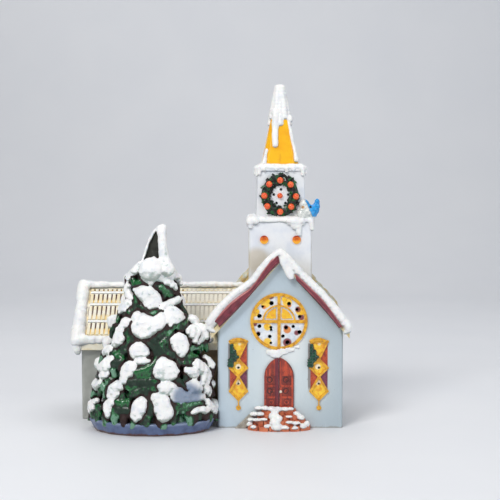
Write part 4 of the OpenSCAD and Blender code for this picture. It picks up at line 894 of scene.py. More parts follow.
roofSnow = {
    # voxel, rounds of smoothing, height and size of the lumps
    "blockClay": (0.5, 4, 0.6, 3.4), "wingClay": (0.55, 5, 0.7, 4),
    # y of the roll over the front boards, of the layer under it and of the drip beside the peak
    "rollY": -26.8, "seatY": -25.6, "dripY": -28.0,
    # y where the snow on the eaves and on the ridge starts and ends; the left eave ends at the wing
    "startY": -24, "wingY": -4.5, "ridgeY": 20.5, "endY": 54,
    # along the front boards: x, z and radius
    "leftRake": [(0.1, 109.6, 2.5), (-2.6, 108.6, 2.3), (-5.8, 106.2, 2.1), (-9.2, 102.6, 2.2),
                 (-12.8, 98.0, 2.3), (-16.9, 92.2, 2.4), (-22.4, 88.0, 2.3), (-27.9, 84.4, 2.3),
                 (-32.7, 79.9, 2.4), (-37.0, 75.4, 2.5), (-41.2, 70.2, 2.7), (-43.8, 66.0, 2.6),
                 (-44.0, 63.4, 2.2), (-42.4, 61.4, 1.8), (-40.4, 60.6, 1.2)],
    "rightRake": [(0.1, 109.6, 2.5), (4.4, 105.2, 2.7), (8.6, 100.2, 2.8), (14.7, 94.2, 2.6), (20.8, 88.2, 2.7),
                  (26.9, 82.0, 2.8), (32.9, 75.0, 2.9), (37.8, 68.6, 3.0), (41.4, 64.0, 3.0), (41.6, 61.8, 2.4),
                  (39.6, 60.0, 1.5)],
    # along the back edge: share of the way down from the peak, radius, height over the roof
    "backRake": [(0, 3.1, 1.6), (0.3, 3.3, 2.2), (0.6, 3.1, 2.6), (0.9, 3.4, 2.4), (1.0, 3.1, -0.6)],
    # drip over the right board beside the peak: x, z, radius
    "drip": [(1.2, 105.4, 2.4), (2.8, 102.0, 2.7), (4.4, 98.6, 2.8), (5.6, 95.8, 2.5), (6.2, 94.4, 2.1)],
    # along the wing's left edge: share of the way down from the peak, radius, height over the roof
    "wingEdge": [(0, 3.4, 0.4), (0.25, 3.8, 0.4), (0.5, 3.6, 0.4), (0.75, 4.0, 0.4), (0.97, 4.2, 0.2)],
}


def rakePoints(stations, side, place, top, run, mid=0.0, axis="x"):  # down one slope, at a place along the ridge
    points = []
    for share, radius, over in stations:
        out = mid + side * run * share
        z = top - run * share * house["slope"] + over
        points.append((out, place, z, radius) if axis == "x" else (place, out, z, radius))
    return points


def buildBlockSnow():
    balls = []
    flat = (1, 1.15, 1)
    top, slope, back = house["top"], house["slope"], roofSnow["endY"]
    for side, key in ((-1, "leftRake"), (1, "rightRake")):
        roll = roofSnow[key]
        balls += chain([(x, roofSnow["rollY"], z, r) for x, z, r in roll], flat, wobble=0.06, spread=0.35)
        balls += chain([(x, roofSnow["seatY"], (z + top - abs(x) * slope) / 2, r) for x, z, r in roll[:-3]],
                       flat, wobble=0.06)
        balls += chain(rakePoints(roofSnow["backRake"], side, back, top, house["run"]), flat)
        eave = house["run"] - 1.6
        start, end = roofSnow["startY"], back if side > 0 else roofSnow["wingY"]
        z = top - eave * slope + 0.3
        balls += chain([(side * eave, start, z + 0.6, 2.7), (side * eave, (start + end) / 2, z, 2.2),
                        (side * eave, end, z, 2.6)], (1, 1, 1.05), wobble=0.18)
    balls += chain([(x, roofSnow["dripY"], z, r) for x, z, r in roofSnow["drip"]], (1, 0.62, 1), 0.04, 0.3)
    balls += chain([(0, roofSnow["ridgeY"], top + 0.3, 2.2), (0, back, top + 1.2, 2.4)], (1.25, 1, 0.9))
    piece = clay("blockSnow", balls, *roofSnow["blockClay"])
    laySnow(piece, "block_snow", material=snowGlaze("rakeSnowGlaze", rakeWash))
    markPoints(piece, "front", [-point.normal.y for point in piece.data.vertices])


def buildWingSnow():
    balls = []
    left = house["wingLeft"] + 2.6
    mid, top, run = house["wingMid"], house["wingTop"], house["wingRun"]
    for side in (-1, 1):
        balls += chain(rakePoints(roofSnow["wingEdge"], side, left, top, run, mid, "y"), (1.15, 1, 1))
        y = mid + side * (run - 1.4)
        z = top - (run - 1.4) * house["slope"] + 0.2
        balls += chain([(left, y, z, 3.8), (left + 12, y, z, 2.7), (-90, y, z, 2.3), (-60, y, z, 2.6),
                        (-44.5, y, z, 2.5)], (1, 1, 1.05), wobble=0.15)
        balls += chain([(left - 0.4, y, z, 3.6), (left - 0.2, y + side * 0.6, z - 4, 3.2),
                        (left + 0.2, y + side * 0.6, z - 7.2, 2.4)])
    balls += chain([(left, mid, top + 0.2, 3.0), (left + 20, mid, top, 2.3), (-70, mid, top + 0.1, 2.0),
                    (-44.5, mid, top + 0.2, 2.4), (-24, mid, top + 0.2, 2.0)], (1, 1.4, 1))
    laySnow(clay("wingSnow", balls, *roofSnow["wingClay"]), "wing_snow")


ledgeSnow = {
    # voxel, rounds of smoothing, height and size of the lumps
    "towerClay": (0.45, 4, 0.5, 3), "corniceClay": (0.4, 4, 0.4, 2.5),
    # x, length below the ledge and radius of each drip, on the tower's front and on each side of the cornice
    "tower": [(-18.9, 3.2, 2.3), (-15.5, 1.2, 2.2), (5.4, 1.2, 2.2), (8.4, 3.6, 2.8), (10.6, 7.6, 2.5),
              (13.4, 1.4, 2.2), (19.0, 4.4, 2.0)],
    "cornice": [(-13.6, 3.8, 1.6), (-10.4, 1.6, 1.5), (-3, 1.4, 1.5), (3.4, 2.2, 1.7), (7.6, 1.6, 1.7),
                (13.4, 4.4, 1.7)],
}


def squareRing(half, z, radius, stretch):
    corners = [(-half, -half), (half, -half), (half, half), (-half, half), (-half, -half)]
    return chain([(x, y, z, radius) for x, y in corners], stretch)


def buildSteepleSnow():
    half, top = house["tower"], house["towerTop"]
    balls = squareRing(half - 1.3, top + 0.9, 2.7, (1, 1, 0.85))
    balls += squareRing(half - 4.4, top + 1.4, 2.6, (1, 1, 0.9))
    for x, length, radius in ledgeSnow["tower"]:
        balls += chain([(x, -half - 0.2, top + 0.4, radius),
                        (x + length * 0.12, -half - 0.1, top - length, radius * 0.75)])
    for x, y in ((half, 3), (-half, -6), (-half, 9), (5, half), (-9, half), (half, 13)):
        balls += chain([(x, y, top + 0.4, 1.9), (x, y, top - 2.6, 1.4)])
    laySnow(clay("towerSnow", balls, *ledgeSnow["towerClay"]), "tower_snow")

    half, top = house["cornice"], house["spireFoot"]
    balls = squareRing(half - 1.3, top + 0.3, 1.6, (1, 1, 0.9))
    balls += squareRing(half - 3, top + 0.9, 2.0, (1, 1, 0.9))
    for turn in range(4):
        for x, length, radius in ledgeSnow["cornice"]:
            balls += quarterTurns(chain([(x, -half + 0.4, top - 0.2, radius),
                                         (x, -half + 0.3, top - length, radius * 0.7)]), turn)
    piece = clay("corniceSnow", [inSteeple(matrix) for matrix in balls], *ledgeSnow["corniceClay"])
    laySnow(piece, "cornice_snow")


spireSnow = {
    # how far below the top the snow on each hip starts, from the front right hip on, against the clock
    "hips": [22, 20, 20, 40], "hip": 1.15, "hipEnd": 49, "capEnd": 25, "capRadius": 2.25,
    "clay": (0.35, 3, 0.5, 2.2),
    # drip down the front's left: x, distance below the top, radius
    "drip": [(-2.8, 16, 2.6), (-3.1, 23, 2.3), (-3.4, 30, 2.15), (-3.3, 36.6, 2.0)],
}


def spireHalfAt(below):
    share = below / (house["spireTop"] - house["spireFoot"])
    return house["tipHalf"] + (house["spireHalf"] - house["tipHalf"]) * share


def spireCap():  # thick snow round the tip, with a wavy lower edge
    balls = []
    for below in range(1, spireSnow["capEnd"], 2):
        for turn in range(12):
            angle = turn * pi / 6
            square = min(1 / max(abs(cos(angle)), 0.01), 1 / max(abs(sin(angle)), 0.01), 1.25)
            if below < spireSnow["capEnd"] - 2.5 + 2.5 * sin(turn * 2.3 + 1):
                reach = (spireHalfAt(below) - 0.5) * square
                spot = (reach * cos(angle), reach * sin(angle), house["spireTop"] - below)
                balls.append(ball(spot, spireSnow["capRadius"]))
    return balls


def buildSpireSnow():
    top = house["spireTop"]
    balls = []
    for turn, start in enumerate(spireSnow["hips"]):
        hip = [(spireHalfAt(d) - 0.9, -spireHalfAt(d) + 0.9, top - d, spireSnow["hip"] * (1 + (d > 44) * 0.5))
               for d in range(start, spireSnow["hipEnd"], 4)]
        balls += quarterTurns(chain(hip, wobble=0.1), turn)
    balls += spireCap() + [ball((0, 0, top - 1.6), 2.6)]
    balls += chain([(x, -spireHalfAt(d) - 0.3, top - d, r) for x, d, r in spireSnow["drip"]], (1, 0.8, 1), 0.04)
    balls.append(ball((spireHalfAt(21), -spireHalfAt(20) * 0.85, top - 20.6), 2.3, (1, 0.9, 1.1)))
    piece = clay("spireSnow", [inSteeple(matrix) for matrix in balls], *spireSnow["clay"])
    laySnow(piece, "spire_snow", 1.0)


buildBlockSnow()
buildWingSnow()
buildSteepleSnow()
buildSpireSnow()
print("roof snow laid")


# facade: snow over the doors and on the steps

facadeSnow = {
    # voxel, rounds of smoothing, height and size of the lumps
    "doorClay": (0.35, 5, 0.6, 2.5), "stepsClay": (0.4, 2, 0.8, 2), "trimClay": (0.25, 5),
    # low snow between the rose window and the doors, with a point where they meet: x and z
    "hood": [(-9.6, 46.6), (-8.4, 48.6), (-5, 49.8), (-1, 50.3), (3, 50.4), (7.5, 51), (12, 52.4), (13, 51.6),
             (11.6, 50), (8.4, 48.2), (5, 46.8), (1.8, 46), (-0.2, 44.4), (-1.4, 42.8), (-2.4, 41), (-3.6, 43.6),
             (-5.8, 44.6), (-7.8, 45.2)],
    # gold over each window and the green shard at its left: x from the window's middle and z
    "cap": [(-5.8, 53.7), (-5.4, 54.9), (-3.6, 55.9), (-1, 56.4), (1.6, 56.3), (3.8, 55.7), (5.6, 54.7),
            (5.8, 53.6), (3, 54.2), (0, 54.5), (-3, 54.2)],
    "shard": [(-5.8, 53.2), (-3.6, 53.4), (-2.2, 50.8), (-1, 48), (0.6, 44.6), (0.2, 43.2), (-1.8, 41.2),
              (-3.4, 37.4), (-5, 36.6), (-6.6, 38.4), (-6.2, 45)],
    # clumps on the steps: x, distance in front of the wall, z, radius, width, height
    "clumps": [(-12.5, 1.5, 12.8, 1.9, 1.5, 0.8), (-8.6, 2.4, 12.9, 2.0, 1.5, 0.75),
               (-4.6, 3.4, 12.9, 2.1, 1.5, 0.75), (-0.5, 4.0, 12.7, 2.1, 1.4, 0.8),
               (3.6, 3.8, 12.7, 1.9, 1.4, 0.75), (7.2, 2.8, 12.7, 1.7, 1.4, 0.7),
               (-15.5, 3.2, 9.5, 1.9, 1.5, 0.8), (-11.4, 4.4, 9.8, 1.9, 1.4, 0.8),
               (-2.6, 5.4, 11.2, 2.3, 1.1, 1.1), (-3.4, 6.4, 8.6, 2.8, 1.15, 1.05),
               (-0.6, 7.0, 7.4, 2.6, 1.1, 1.0), (-2.6, 8.2, 5.4, 3.2, 1.1, 0.9), (-1.4, 9.0, 2.8, 3.0, 1.3, 0.85),
               (3.4, 9.2, 2.4, 2.0, 1.5, 0.7), (-17.0, 4.8, 6.4, 1.8, 1.5, 0.7), (-13.4, 7.2, 6.8, 1.7, 1.9, 0.6),
               (-9.4, 7.4, 7.2, 1.6, 1.5, 0.6), (11.0, 3.4, 9.8, 1.9, 1.3, 0.8), (13.4, 4.4, 7.6, 2.1, 1.2, 0.9),
               (10.0, 8.0, 5.0, 1.8, 1.9, 0.6), (6.2, 8.6, 5.6, 1.5, 1.6, 0.6), (14.8, 7.6, 3.0, 2.1, 1.2, 0.8),
               (17.0, 5.0, 3.6, 2.0, 1.0, 1.1), (-18.2, 4.6, 3.4, 1.8, 1.2, 0.8),
               (-15.8, 7.8, 2.6, 1.6, 1.4, 0.7), (6.0, 6.6, 8.6, 1.4, 1.7, 0.6), (-7.6, 9.0, 3.2, 1.7, 1.2, 0.8),
               (9.6, 9.0, 2.2, 1.7, 1.6, 0.7)],
}


def onWall(x, z):
    return (x, house["frontY"] - 0.1, z)


def buildFacadeSnow():
    hood = puff(facadeSnow["hood"], 0.3, 1.8, onWall, 0.42, 0.4)
    laySnow(clay("doorSnow", hood, *facadeSnow["doorClay"]), "door_snow", 0)
    balls = [ball((x - 0.9, house["frontY"] - out, z), r, (wide, 1, high))
             for x, out, z, r, wide, high in facadeSnow["clumps"]]
    piece = clay("stepsSnow", balls, *facadeSnow["stepsClay"])
    trim(piece, (0, 0, 0.05), (0, 0, 1))
    laySnow(piece, "steps_snow", 0)


def buildWindowTrims():
    # outline, how far it stands before the wall, glaze and slot
    trims = (("cap", 0.9, gold, "gold_glaze"), ("shard", 1.3, shardGlaze(), "green_glaze"))
    for side, middle in zip(("Left", "Right"), house["windows"]):
        for outline, out, material, slotName in trims:
            shape = [(x + middle, z) for x, z in facadeSnow[outline]]
            balls = puff(shape, 0.35, 1.1, lambda x, z: (x, house["frontY"] - out, z), 0.4, 0.3)
            piece = clay("window" + outline.capitalize() + side, balls, *facadeSnow["trimClay"])
            front = [point.co.y for point in piece.data.vertices]
            nearest, deepest = min(front), house["frontY"] * mm
            markPoints(piece, "front", [(deepest - y) / (deepest - nearest) for y in front])
            rideOn(piece, material, slotName)


buildFacadeSnow()
buildWindowTrims()
print("facade snow laid")


# wreath, berries and bird

wreath = {
    "x": -0.7, "z": 143, "lift": 0.7, "lean": 2.31, "radius": 9.9, "wide": 0.94, "high": 1.07,
    "band": 3.4, "depth": 2.2, "leaves": 170, "leaf": (0.0019, 0.00085, 0.001, 1), "berryClay": (0.22, 2),
    # x and height of each berry from the wreath's middle
    "berries": [(0, 9.5), (6.5, 6.9), (9.8, -0.4), (6.8, -6.8), (0, -9.9), (-8.0, -6.5), (-9.8, 0), (-6.8, 7.1)],
}


def onBelfry(matrix):  # from a flat wreath, facing up at the origin, to the belfry's front
    rise = (wreath["z"] - house["towerTop"]) / (house["belfryTop"] - house["towerTop"])
    front = house["belfryHalf"] - house["belfryTaper"] * rise
    return inSteeple(Matrix.Translation(Vector((wreath["x"], -front, wreath["z"] + wreath["lift"])) * mm)
                     @ Matrix.Rotation(radians(90 - wreath["lean"]), 4, "X") @ matrix)


def wreathCore():
    bpy.ops.mesh.primitive_torus_add(major_radius=wreath["radius"] * mm, minor_radius=wreath["band"] * 0.72 * mm,
                                     major_segments=48, minor_segments=12)
    core = bpy.context.object
    core.data.transform(Matrix.Diagonal((wreath["wide"], wreath["high"], 0.62, 1)))
    core.data.transform(onBelfry(Matrix.Identity(4)))
    return core


def wreathLeaves():
    bpy.ops.mesh.primitive_cylinder_add(vertices=6, radius=1, depth=0.4)
    leaf = bpy.context.object
    leaf.data.transform(Matrix.Diagonal(wreath["leaf"]))
    applyModifier(leaf, "BEVEL", width=0.00012, segments=1, limit_method="ANGLE")
    parts = []
    for i in range(wreath["leaves"]):
        angle = 2 * pi * i / wreath["leaves"] * 5 + dice.uniform(-0.1, 0.1)
        across = dice.uniform(-1.02, 0.8) * wreath["band"]
        lift = wreath["depth"] * 0.85 * sqrt(max(0.05, 1 - (across / wreath["band"]) ** 2))
        reach = wreath["radius"] + across
        spot = Vector((reach * cos(angle) * wreath["wide"], reach * sin(angle) * wreath["high"], lift)) * mm
        turned = Euler((dice.uniform(-0.5, 0.5), dice.uniform(-0.5, 0.5),
                        angle + pi / 2 + dice.choice((-1, 1)) * dice.uniform(0.3, 1.1))).to_matrix().to_4x4()
        part = bpy.data.objects.new("leaf", leaf.data.copy())
        part.data.transform(onBelfry(Matrix.Translation(spot) @ turned))
        bpy.context.collection.objects.link(part)
        parts.append(part)
    bpy.data.objects.remove(leaf)
    return parts


def buildWreath():
    core = wreathCore()
    pick(*wreathLeaves(), core)
    bpy.ops.object.join()
    core.name = "wreathLeaves"
    bpy.ops.object.shade_smooth_by_angle(angle=radians(40))
    rideOn(core, leafGlaze(), "green_glaze", "wreath")
    balls = [ball((0, 0, 0.5), 1.8)] + [ball((x, rise, 2.4), 2.05, (1, 1, 0.8)) for x, rise in wreath["berries"]]
    piece = clay("wreathBerries", [onBelfry(matrix) for matrix in balls], *wreath["berryClay"])
    rideOn(piece, berryGlaze(), "orange_glaze", "wreath_berries")


bird = {
    "foot": (18, -16.2, 133.2), "turn": 12, "clay": (0.3, 6),
    # x, y, z, radius and stretch of each lump, from the foot
    "lumps": [((0, 0, 0), 4.8, (1.12, 0.95, 1)), ((-4.0, -0.6, -0.8), 4.2, (1.05, 0.9, 1)),
              ((-2.2, 0, 2.7), 4.0, (1, 0.95, 1)), ((-3.2, 0, 5.2), 3.3, (1, 1, 1)),
              ((2.8, 0, 1.8), 3.7, (1, 0.9, 1)), ((4.5, 0, 4.0), 2.4, (1, 0.8, 1.2)),
              ((5.0, 0, 6.6), 1.7, (1, 0.9, 1.4)), ((-0.4, -3.2, 0.2), 2.7, (1.5, 0.6, 1)),
              ((-0.4, 3.2, 0.2), 2.7, (1.5, 0.6, 1)), ((-1.0, -0.8, -3.6), 3.8, (1, 0.9, 1))],
}


def buildBird():
    stand = Matrix.Translation(Vector(bird["foot"]) * mm) @ Matrix.Rotation(radians(bird["turn"]), 4, "Z")
    piece = clay("birdBody", [stand @ ball(*lump) for lump in bird["lumps"]], *bird["clay"])
    trim(piece, (0, 0, house["towerTop"] + 0.2), (0, 0, 1))
    rideOn(piece, birdGlaze(), "blue_glaze", "bird_body", "bird_back")
    repaint(plainGlaze("beakGlaze"), "bird_beak")


buildWreath()
buildBird()
print("wreath and bird done")


# fir

fir = {
    "x": -78.7, "y": -25.35, "flat": 0.616, "back": -1.0, "smoothFrom": 0.103,
    "footHalf": 0.0393, "footHeight": 0.0078, "footSprays": 15,
    # voxel, rounds of smoothing, height and size of the lumps, their kind, rounds of smoothing after them
    "boughClay": (0.6, 2, 0.35, 3.0), "snowClay": (0.5, 1, 0.9, 4.2, "VORONOI", 1),
    # height and half width of the tree
    "outline": [(0, 39), (12, 38.5), (17, 37.5), (23, 35.5), (29, 35), (35, 34), (41, 33.5), (47, 30), (53, 28.5),
                (65, 26), (73, 20.5), (80, 16.6), (91, 16.4), (97.5, 13), (103.6, 9), (107, 7.2), (114, 6),
                (120, 4.8), (125, 3)],
    # the bare tip from its foot up: how much it leans, how much rounder it is, and x, z and radius along it
    "tipFoot": 98, "lean": 0.2, "tipWide": 1.3,
    "tip": [(1.2, 100, 8.2), (2.0, 106, 7.0), (3.0, 112, 5.8), (4.0, 118, 4.5), (5.0, 122.6, 3.1)],
    # outlines of the clumps of snow on the front: x from the stem and z
    "clumps": [
        [(4, 125), (5, 126.6), (7, 126.8), (8.5, 125), (8.7, 117), (9.6, 109.5), (11, 105), (13.5, 100), (16, 95),
         (19, 90), (17, 89.5), (15, 93), (11.5, 93.5), (8.5, 96), (6, 101), (5, 110), (4.5, 118.5)],
        [(-6, 96.5), (-6.5, 100.5), (-5, 103.5), (-2, 106), (2.5, 107), (4.5, 106), (5.5, 101.5), (7, 97.5),
         (8.5, 94.5), (11.5, 92.5), (14.5, 91.5), (15.5, 87.5), (15, 83.5), (13, 88), (10, 90), (6, 92.5), (4, 93),
         (2, 92), (0, 90), (-2.5, 91.5), (-5, 93.5)],
        [(-10.5, 87.5), (-8, 88.5), (-5, 89.5), (-0.5, 89), (3, 87), (4.5, 84.5), (6, 81.5), (5.5, 78), (3.5, 77),
         (-0.5, 75.5), (-3, 77.5), (-5.5, 80.5), (-8, 84)],
        [(4, 76), (7, 78.5), (11, 80.6), (14.5, 82), (18, 84), (18.5, 81), (15.5, 78.4), (11, 77.4), (7, 75.6)],
        [(-7, 104), (-5.5, 103), (-8.5, 98), (-11, 95.5), (-14, 92.5), (-17, 92.5), (-13.4, 97.6)],
        [(-15.4, 91.4), (-13, 90), (-13.5, 86.5), (-12, 84), (-10, 81.5), (-12, 80.4), (-15.4, 82.6), (-16.6, 87)],
        [(-13, 82), (-11, 80), (-11.5, 77.5), (-14, 75), (-18, 72.4), (-21.6, 72.4), (-19.8, 77)],
        [(-11.5, 70), (-9.5, 73), (-7, 74.5), (-6.5, 73), (-8.5, 70.5), (-10, 68.5)],
        [(-17, 69.5), (-14, 71), (-12.5, 69), (-13.5, 66), (-15.5, 64), (-18, 66)],
        [(-10.5, 62.5), (-11, 66.5), (-9, 70), (-6, 72.5), (-3.5, 74), (-1.5, 71.5), (2, 70.5), (5, 73), (7, 74),
         (9, 71), (9, 67.5), (7, 65), (4.5, 63), (0.5, 60.5), (-2, 59), (-5, 59), (-8, 60)],
        [(7.6, 75.5), (10, 76.5), (14, 76.5), (17, 74.5), (19.5, 72), (21.4, 70.5), (18.5, 68.5), (15, 67),
         (12, 65.5), (10.4, 65.5), (9.4, 69), (8.4, 72.5)],
        [(22.5, 65.5), (26.5, 64.4), (31.5, 65), (34, 61), (34, 56), (30, 53.5), (26, 53), (24, 57), (22, 60),
         (21.5, 63)],
        [(-18, 66.5), (-20.6, 64), (-22, 60), (-23, 56), (-24, 53), (-20.5, 53), (-17, 55.5), (-15.5, 58.5),
         (-16.5, 61), (-15.5, 65)],
        [(-24.5, 53.5), (-28.4, 51.5), (-31.6, 47.5), (-27.5, 46.6), (-24, 49), (-22, 52)],
        [(-11.5, 54), (-8, 56), (-4.5, 56), (-2, 53), (0, 49), (-3.5, 48), (-6.5, 48.5), (-9, 47), (-11.5, 47),
         (-12, 51)],
        [(-9.5, 45.3), (-5.5, 47), (-1.5, 46.5), (0.5, 45.3), (-3, 44), (-6.5, 44)],
        [(13.5, 60), (17, 61.5), (20.5, 59.5), (22.5, 55), (22, 51), (20, 47.5), (18, 46), (16.5, 48.5), (14, 52),
         (13, 55), (12.5, 58)],
        [(2.5, 39), (4, 45), (7.5, 47.5), (11, 46), (15, 43.5), (17, 39), (15.5, 35.5), (11.5, 34.5), (6.5, 34.5),
         (4, 36)],
        [(25, 43.5), (28, 45), (31.5, 42), (35.4, 37), (36, 33), (34.5, 30.5), (35.6, 27.5), (31.5, 28.5),
         (29.5, 32), (29.5, 36), (27, 39), (25.5, 41.5)],
        [(30.5, 46.4), (35, 44), (38, 40.5), (38, 37), (34.5, 39), (31.5, 43)],
        [(19.5, 41), (24, 40.5), (28, 38.5), (29, 35), (27, 34), (24, 35.5), (21.5, 37.5)],
        [(22, 31.5), (25.5, 33.5), (28, 32.5), (30.5, 28), (31, 25), (27.5, 24.5), (24, 25.5), (22, 28)],
        [(-22.5, 48), (-26.5, 46), (-31, 42.5), (-33.2, 38), (-29, 36.6), (-25.5, 38.5), (-23.5, 42.5), (-22, 45)],
        [(-17.5, 36.5), (-17, 41), (-14.5, 44), (-10.5, 46), (-8.5, 43), (-8, 39.5), (-10.5, 36.5), (-13, 36),
         (-14, 33), (-16, 30.5), (-18, 33)],
        [(-32.5, 31), (-29.5, 34), (-30, 30), (-34.5, 25), (-37.5, 26)],
        [(-26, 23.5), (-25.5, 27.5), (-23.5, 30.5), (-20.5, 32.5), (-17, 33.5), (-16, 29.5), (-17.5, 27.5),
         (-19, 24.5), (-21, 21.5), (-24, 21.5)],
        [(5, 31.5), (8.5, 34), (11.5, 32.5), (15, 32), (17.5, 30.5), (14, 28.5), (11.5, 26), (8.5, 25.5), (6, 27),
         (5, 29.5)],
        [(12, 27.5), (15, 29.5), (18, 29), (22, 25.5), (26.5, 24), (32, 24), (33, 21), (29, 20.5), (23, 20.5),
         (18.5, 19.5), (15, 20.5), (12.5, 23.5)],
        [(0, 25), (4, 26.5), (7.5, 25.5), (10.5, 23.5), (12.5, 19), (14, 15), (12, 11), (8.5, 9.5), (6, 10.5),
         (3.5, 15), (3, 19.5), (1, 22.5)],
        [(-11, 12), (-10.5, 18), (-9, 21.5), (-5, 24), (-2, 23.5), (-2, 18.5), (-3.5, 15), (-5, 11.5), (-8.5, 10)],
        [(-27.5, 14), (-28, 18), (-26, 21), (-22.5, 22), (-20.5, 19.5), (-23, 17.5), (-24, 13), (-26, 10)],
        [(-40, 12), (-39, 17), (-34, 20.5), (-31, 20), (-34.5, 17), (-35.5, 14), (-39, 9)],
        [(31.5, 22), (34.5, 19.5), (38.2, 14.5), (39.4, 11), (38.8, 8), (36, 13), (33, 18)],
        [(23, 13), (27, 16), (32, 16), (35.5, 13.5), (33, 12.5), (29, 14)],
        [(31, 29), (34.8, 27.5), (36.6, 22), (34.5, 21.5), (32, 24.5)],
        [(-31.8, 35.5), (-27.5, 38), (-25, 37), (-26, 34.5), (-31.4, 33)],
    ],
    # thin snow along the left of the bare tip
    "ridge": [(-5.4, 104.5), (-4.3, 108), (-3.0, 112.5), (-1.2, 117.5), (1.0, 121.6), (3.4, 124.6), (6.4, 125.6)],
    # snow down the back of the tip: x and y from the stem, z, radius
    "nape": [(6, 0.6, 125, 1.2), (4.8, 3.0, 119, 1.9), (3.4, 4.6, 112, 2.5), (1.6, 6.4, 104, 3.4)],
    # green sprays between the clumps: radius, then x from the stem and z along each
    "sprays": [
        (1.5, [(-1.5, 55.5), (2.5, 53), (4.5, 49.5)]), (1.4, [(0.5, 58), (4, 55.5), (6.5, 51.5), (8.5, 48)]),
        (2.3, [(-8, 39), (-3.5, 40), (1, 42), (4, 46)]), (1.7, [(-7.5, 36.5), (-2.5, 37), (2, 40)]),
        (1.8, [(6.5, 55), (10, 58.5), (13.5, 61)]), (1.7, [(8, 53), (11, 50), (13.5, 47.5)]),
        (1.7, [(13.5, 65.5), (17, 67), (20.5, 69)]), (2.2, [(19.5, 47), (23, 47.5), (27, 45.5)]),
        (1.8, [(20, 43.5), (24.5, 44)]), (1.8, [(23, 51.5), (28, 51.5), (30.5, 53)]),
        (1.7, [(-11, 25), (-7, 27.5), (-3, 29.5), (1, 30)]), (1.7, [(-3, 29), (-1, 24), (0, 19.5), (-0.5, 15)]),
        (1.6, [(1.5, 29.5), (6, 27)]), (1.7, [(1, 34), (5, 33)]), (1.8, [(16, 34), (18.5, 31), (21.5, 28)]),
        (2, [(16.5, 20.5), (22, 19), (28.5, 19.5)]), (1.7, [(18, 17), (24.5, 17), (30, 18.5)]),
        (2.6, [(-19.5, 20.5), (-16.5, 20), (-13.5, 20.5)]), (2.2, [(-19, 16), (-12.5, 16)]),
        (2, [(-23, 48.5), (-19, 47.5), (-17, 45.5)]), (2.2, [(-22, 43), (-18, 44)]),
        (1.7, [(-30, 33), (-29.5, 29.5), (-27.5, 26)]), (1.6, [(-15.5, 61.5), (-13, 58), (-9.5, 55.5)]),
        (1.5, [(1, 24), (2, 17.5)]), (1.5, [(14, 16.5), (17, 18), (16.5, 21)]),
        (1.5, [(-10, 90), (-6.5, 92), (-2, 90.5)]), (1.6, [(6, 88), (9, 86.5), (12, 83)]),
        (1.5, [(-6.5, 77), (-3, 76), (0.5, 75)]), (1.5, [(-15.5, 74.5), (-11.5, 77.5)]),
        (1.3, [(-18.5, 51), (-12.5, 51)]), (1.4, [(32, 31), (33.5, 26.5)]),
        (1.6, [(-15.5, 31), (-11.5, 28.5), (-8, 31)]), (2.4, [(-12, 33), (-8, 33), (-3, 33.5), (0.5, 32.5)]),
        (1.8, [(1.5, 72.5), (3.5, 74)]), (1.5, [(-33.5, 16.5), (-30.5, 16)]), (1.5, [(-26, 34.5), (-23, 32.5)]),
    ],
    # boughs round the sides and the back: height, count, half width and half height of their snow
    "backBoughs": [(14, 8, 4.6, 4.2), (27, 8, 5.0, 4.4), (40, 7, 5.0, 4.6), (53, 6, 5.0, 4.6), (66, 5, 5.2, 4.8),
                   (79, 4, 4.4, 4.6), (92, 4, 4.0, 4.4)],
}


def firHalf(z):
    for (low, first), (high, second) in zip(fir["outline"], fir["outline"][1:]):
        if z <= high:
            return first + (second - first) * (max(z, low) - low) / (high - low)
    return fir["outline"][-1][1]


def onFir(x, z, share=1.0):  # a place on the tree's front, or below it
    lean = max(0.0, z - fir["tipFoot"]) * fir["lean"]
    wide = 1 if z < fir["tipFoot"] else fir["tipWide"]
    reach = firHalf(z) * share * wide
    return (fir["x"] + x, fir["y"] - sqrt(max(reach ** 2 - (x - lean) ** 2, 0)) * fir["flat"] * wide, z)


def aroundFir(angle, z, share):
    reach = firHalf(z) * share
    return (fir["x"] + reach * cos(angle), min(fir["y"] + reach * sin(angle) * fir["flat"], fir["back"] - 0.6), z)


def lowestIn(outline, x):  # height of an outline's lower edge at x
    return min(z0 + (z1 - z0) * (x - x0) / (x1 - x0)
               for (x0, z0), (x1, z1) in sides(outline) if (x0 > x) != (x1 > x))


def spray(line, radius):  # a spray of needles: a drooping lobe whose end breaks into fingers
    points = [(*place, radius * grow) for place, grow in zip(line, (1.1, 1, 0.9, 0.8))]
    return chain(points, (1, 0.9, 1), spread=0.45)


def toned(balls, tone):  # balls with their tone: 0 for the dark hollows, 1 for frosted tips
    return [(matrix, tone) for matrix in balls]


def firCore():
    for z in range(7, 104, 5):
        half = firHalf(z)
        reach = half * 0.34
        balls = [ball(aroundFir(turn * pi / 6 + z, z, 0.46), 1, (reach, reach * 0.8, max(reach, 4)))
                 for turn in range(12)]
        yield from toned(balls + [ball((fir["x"], fir["y"], z), 1, (half * 0.6, half * 0.5, 6))], 0.0)


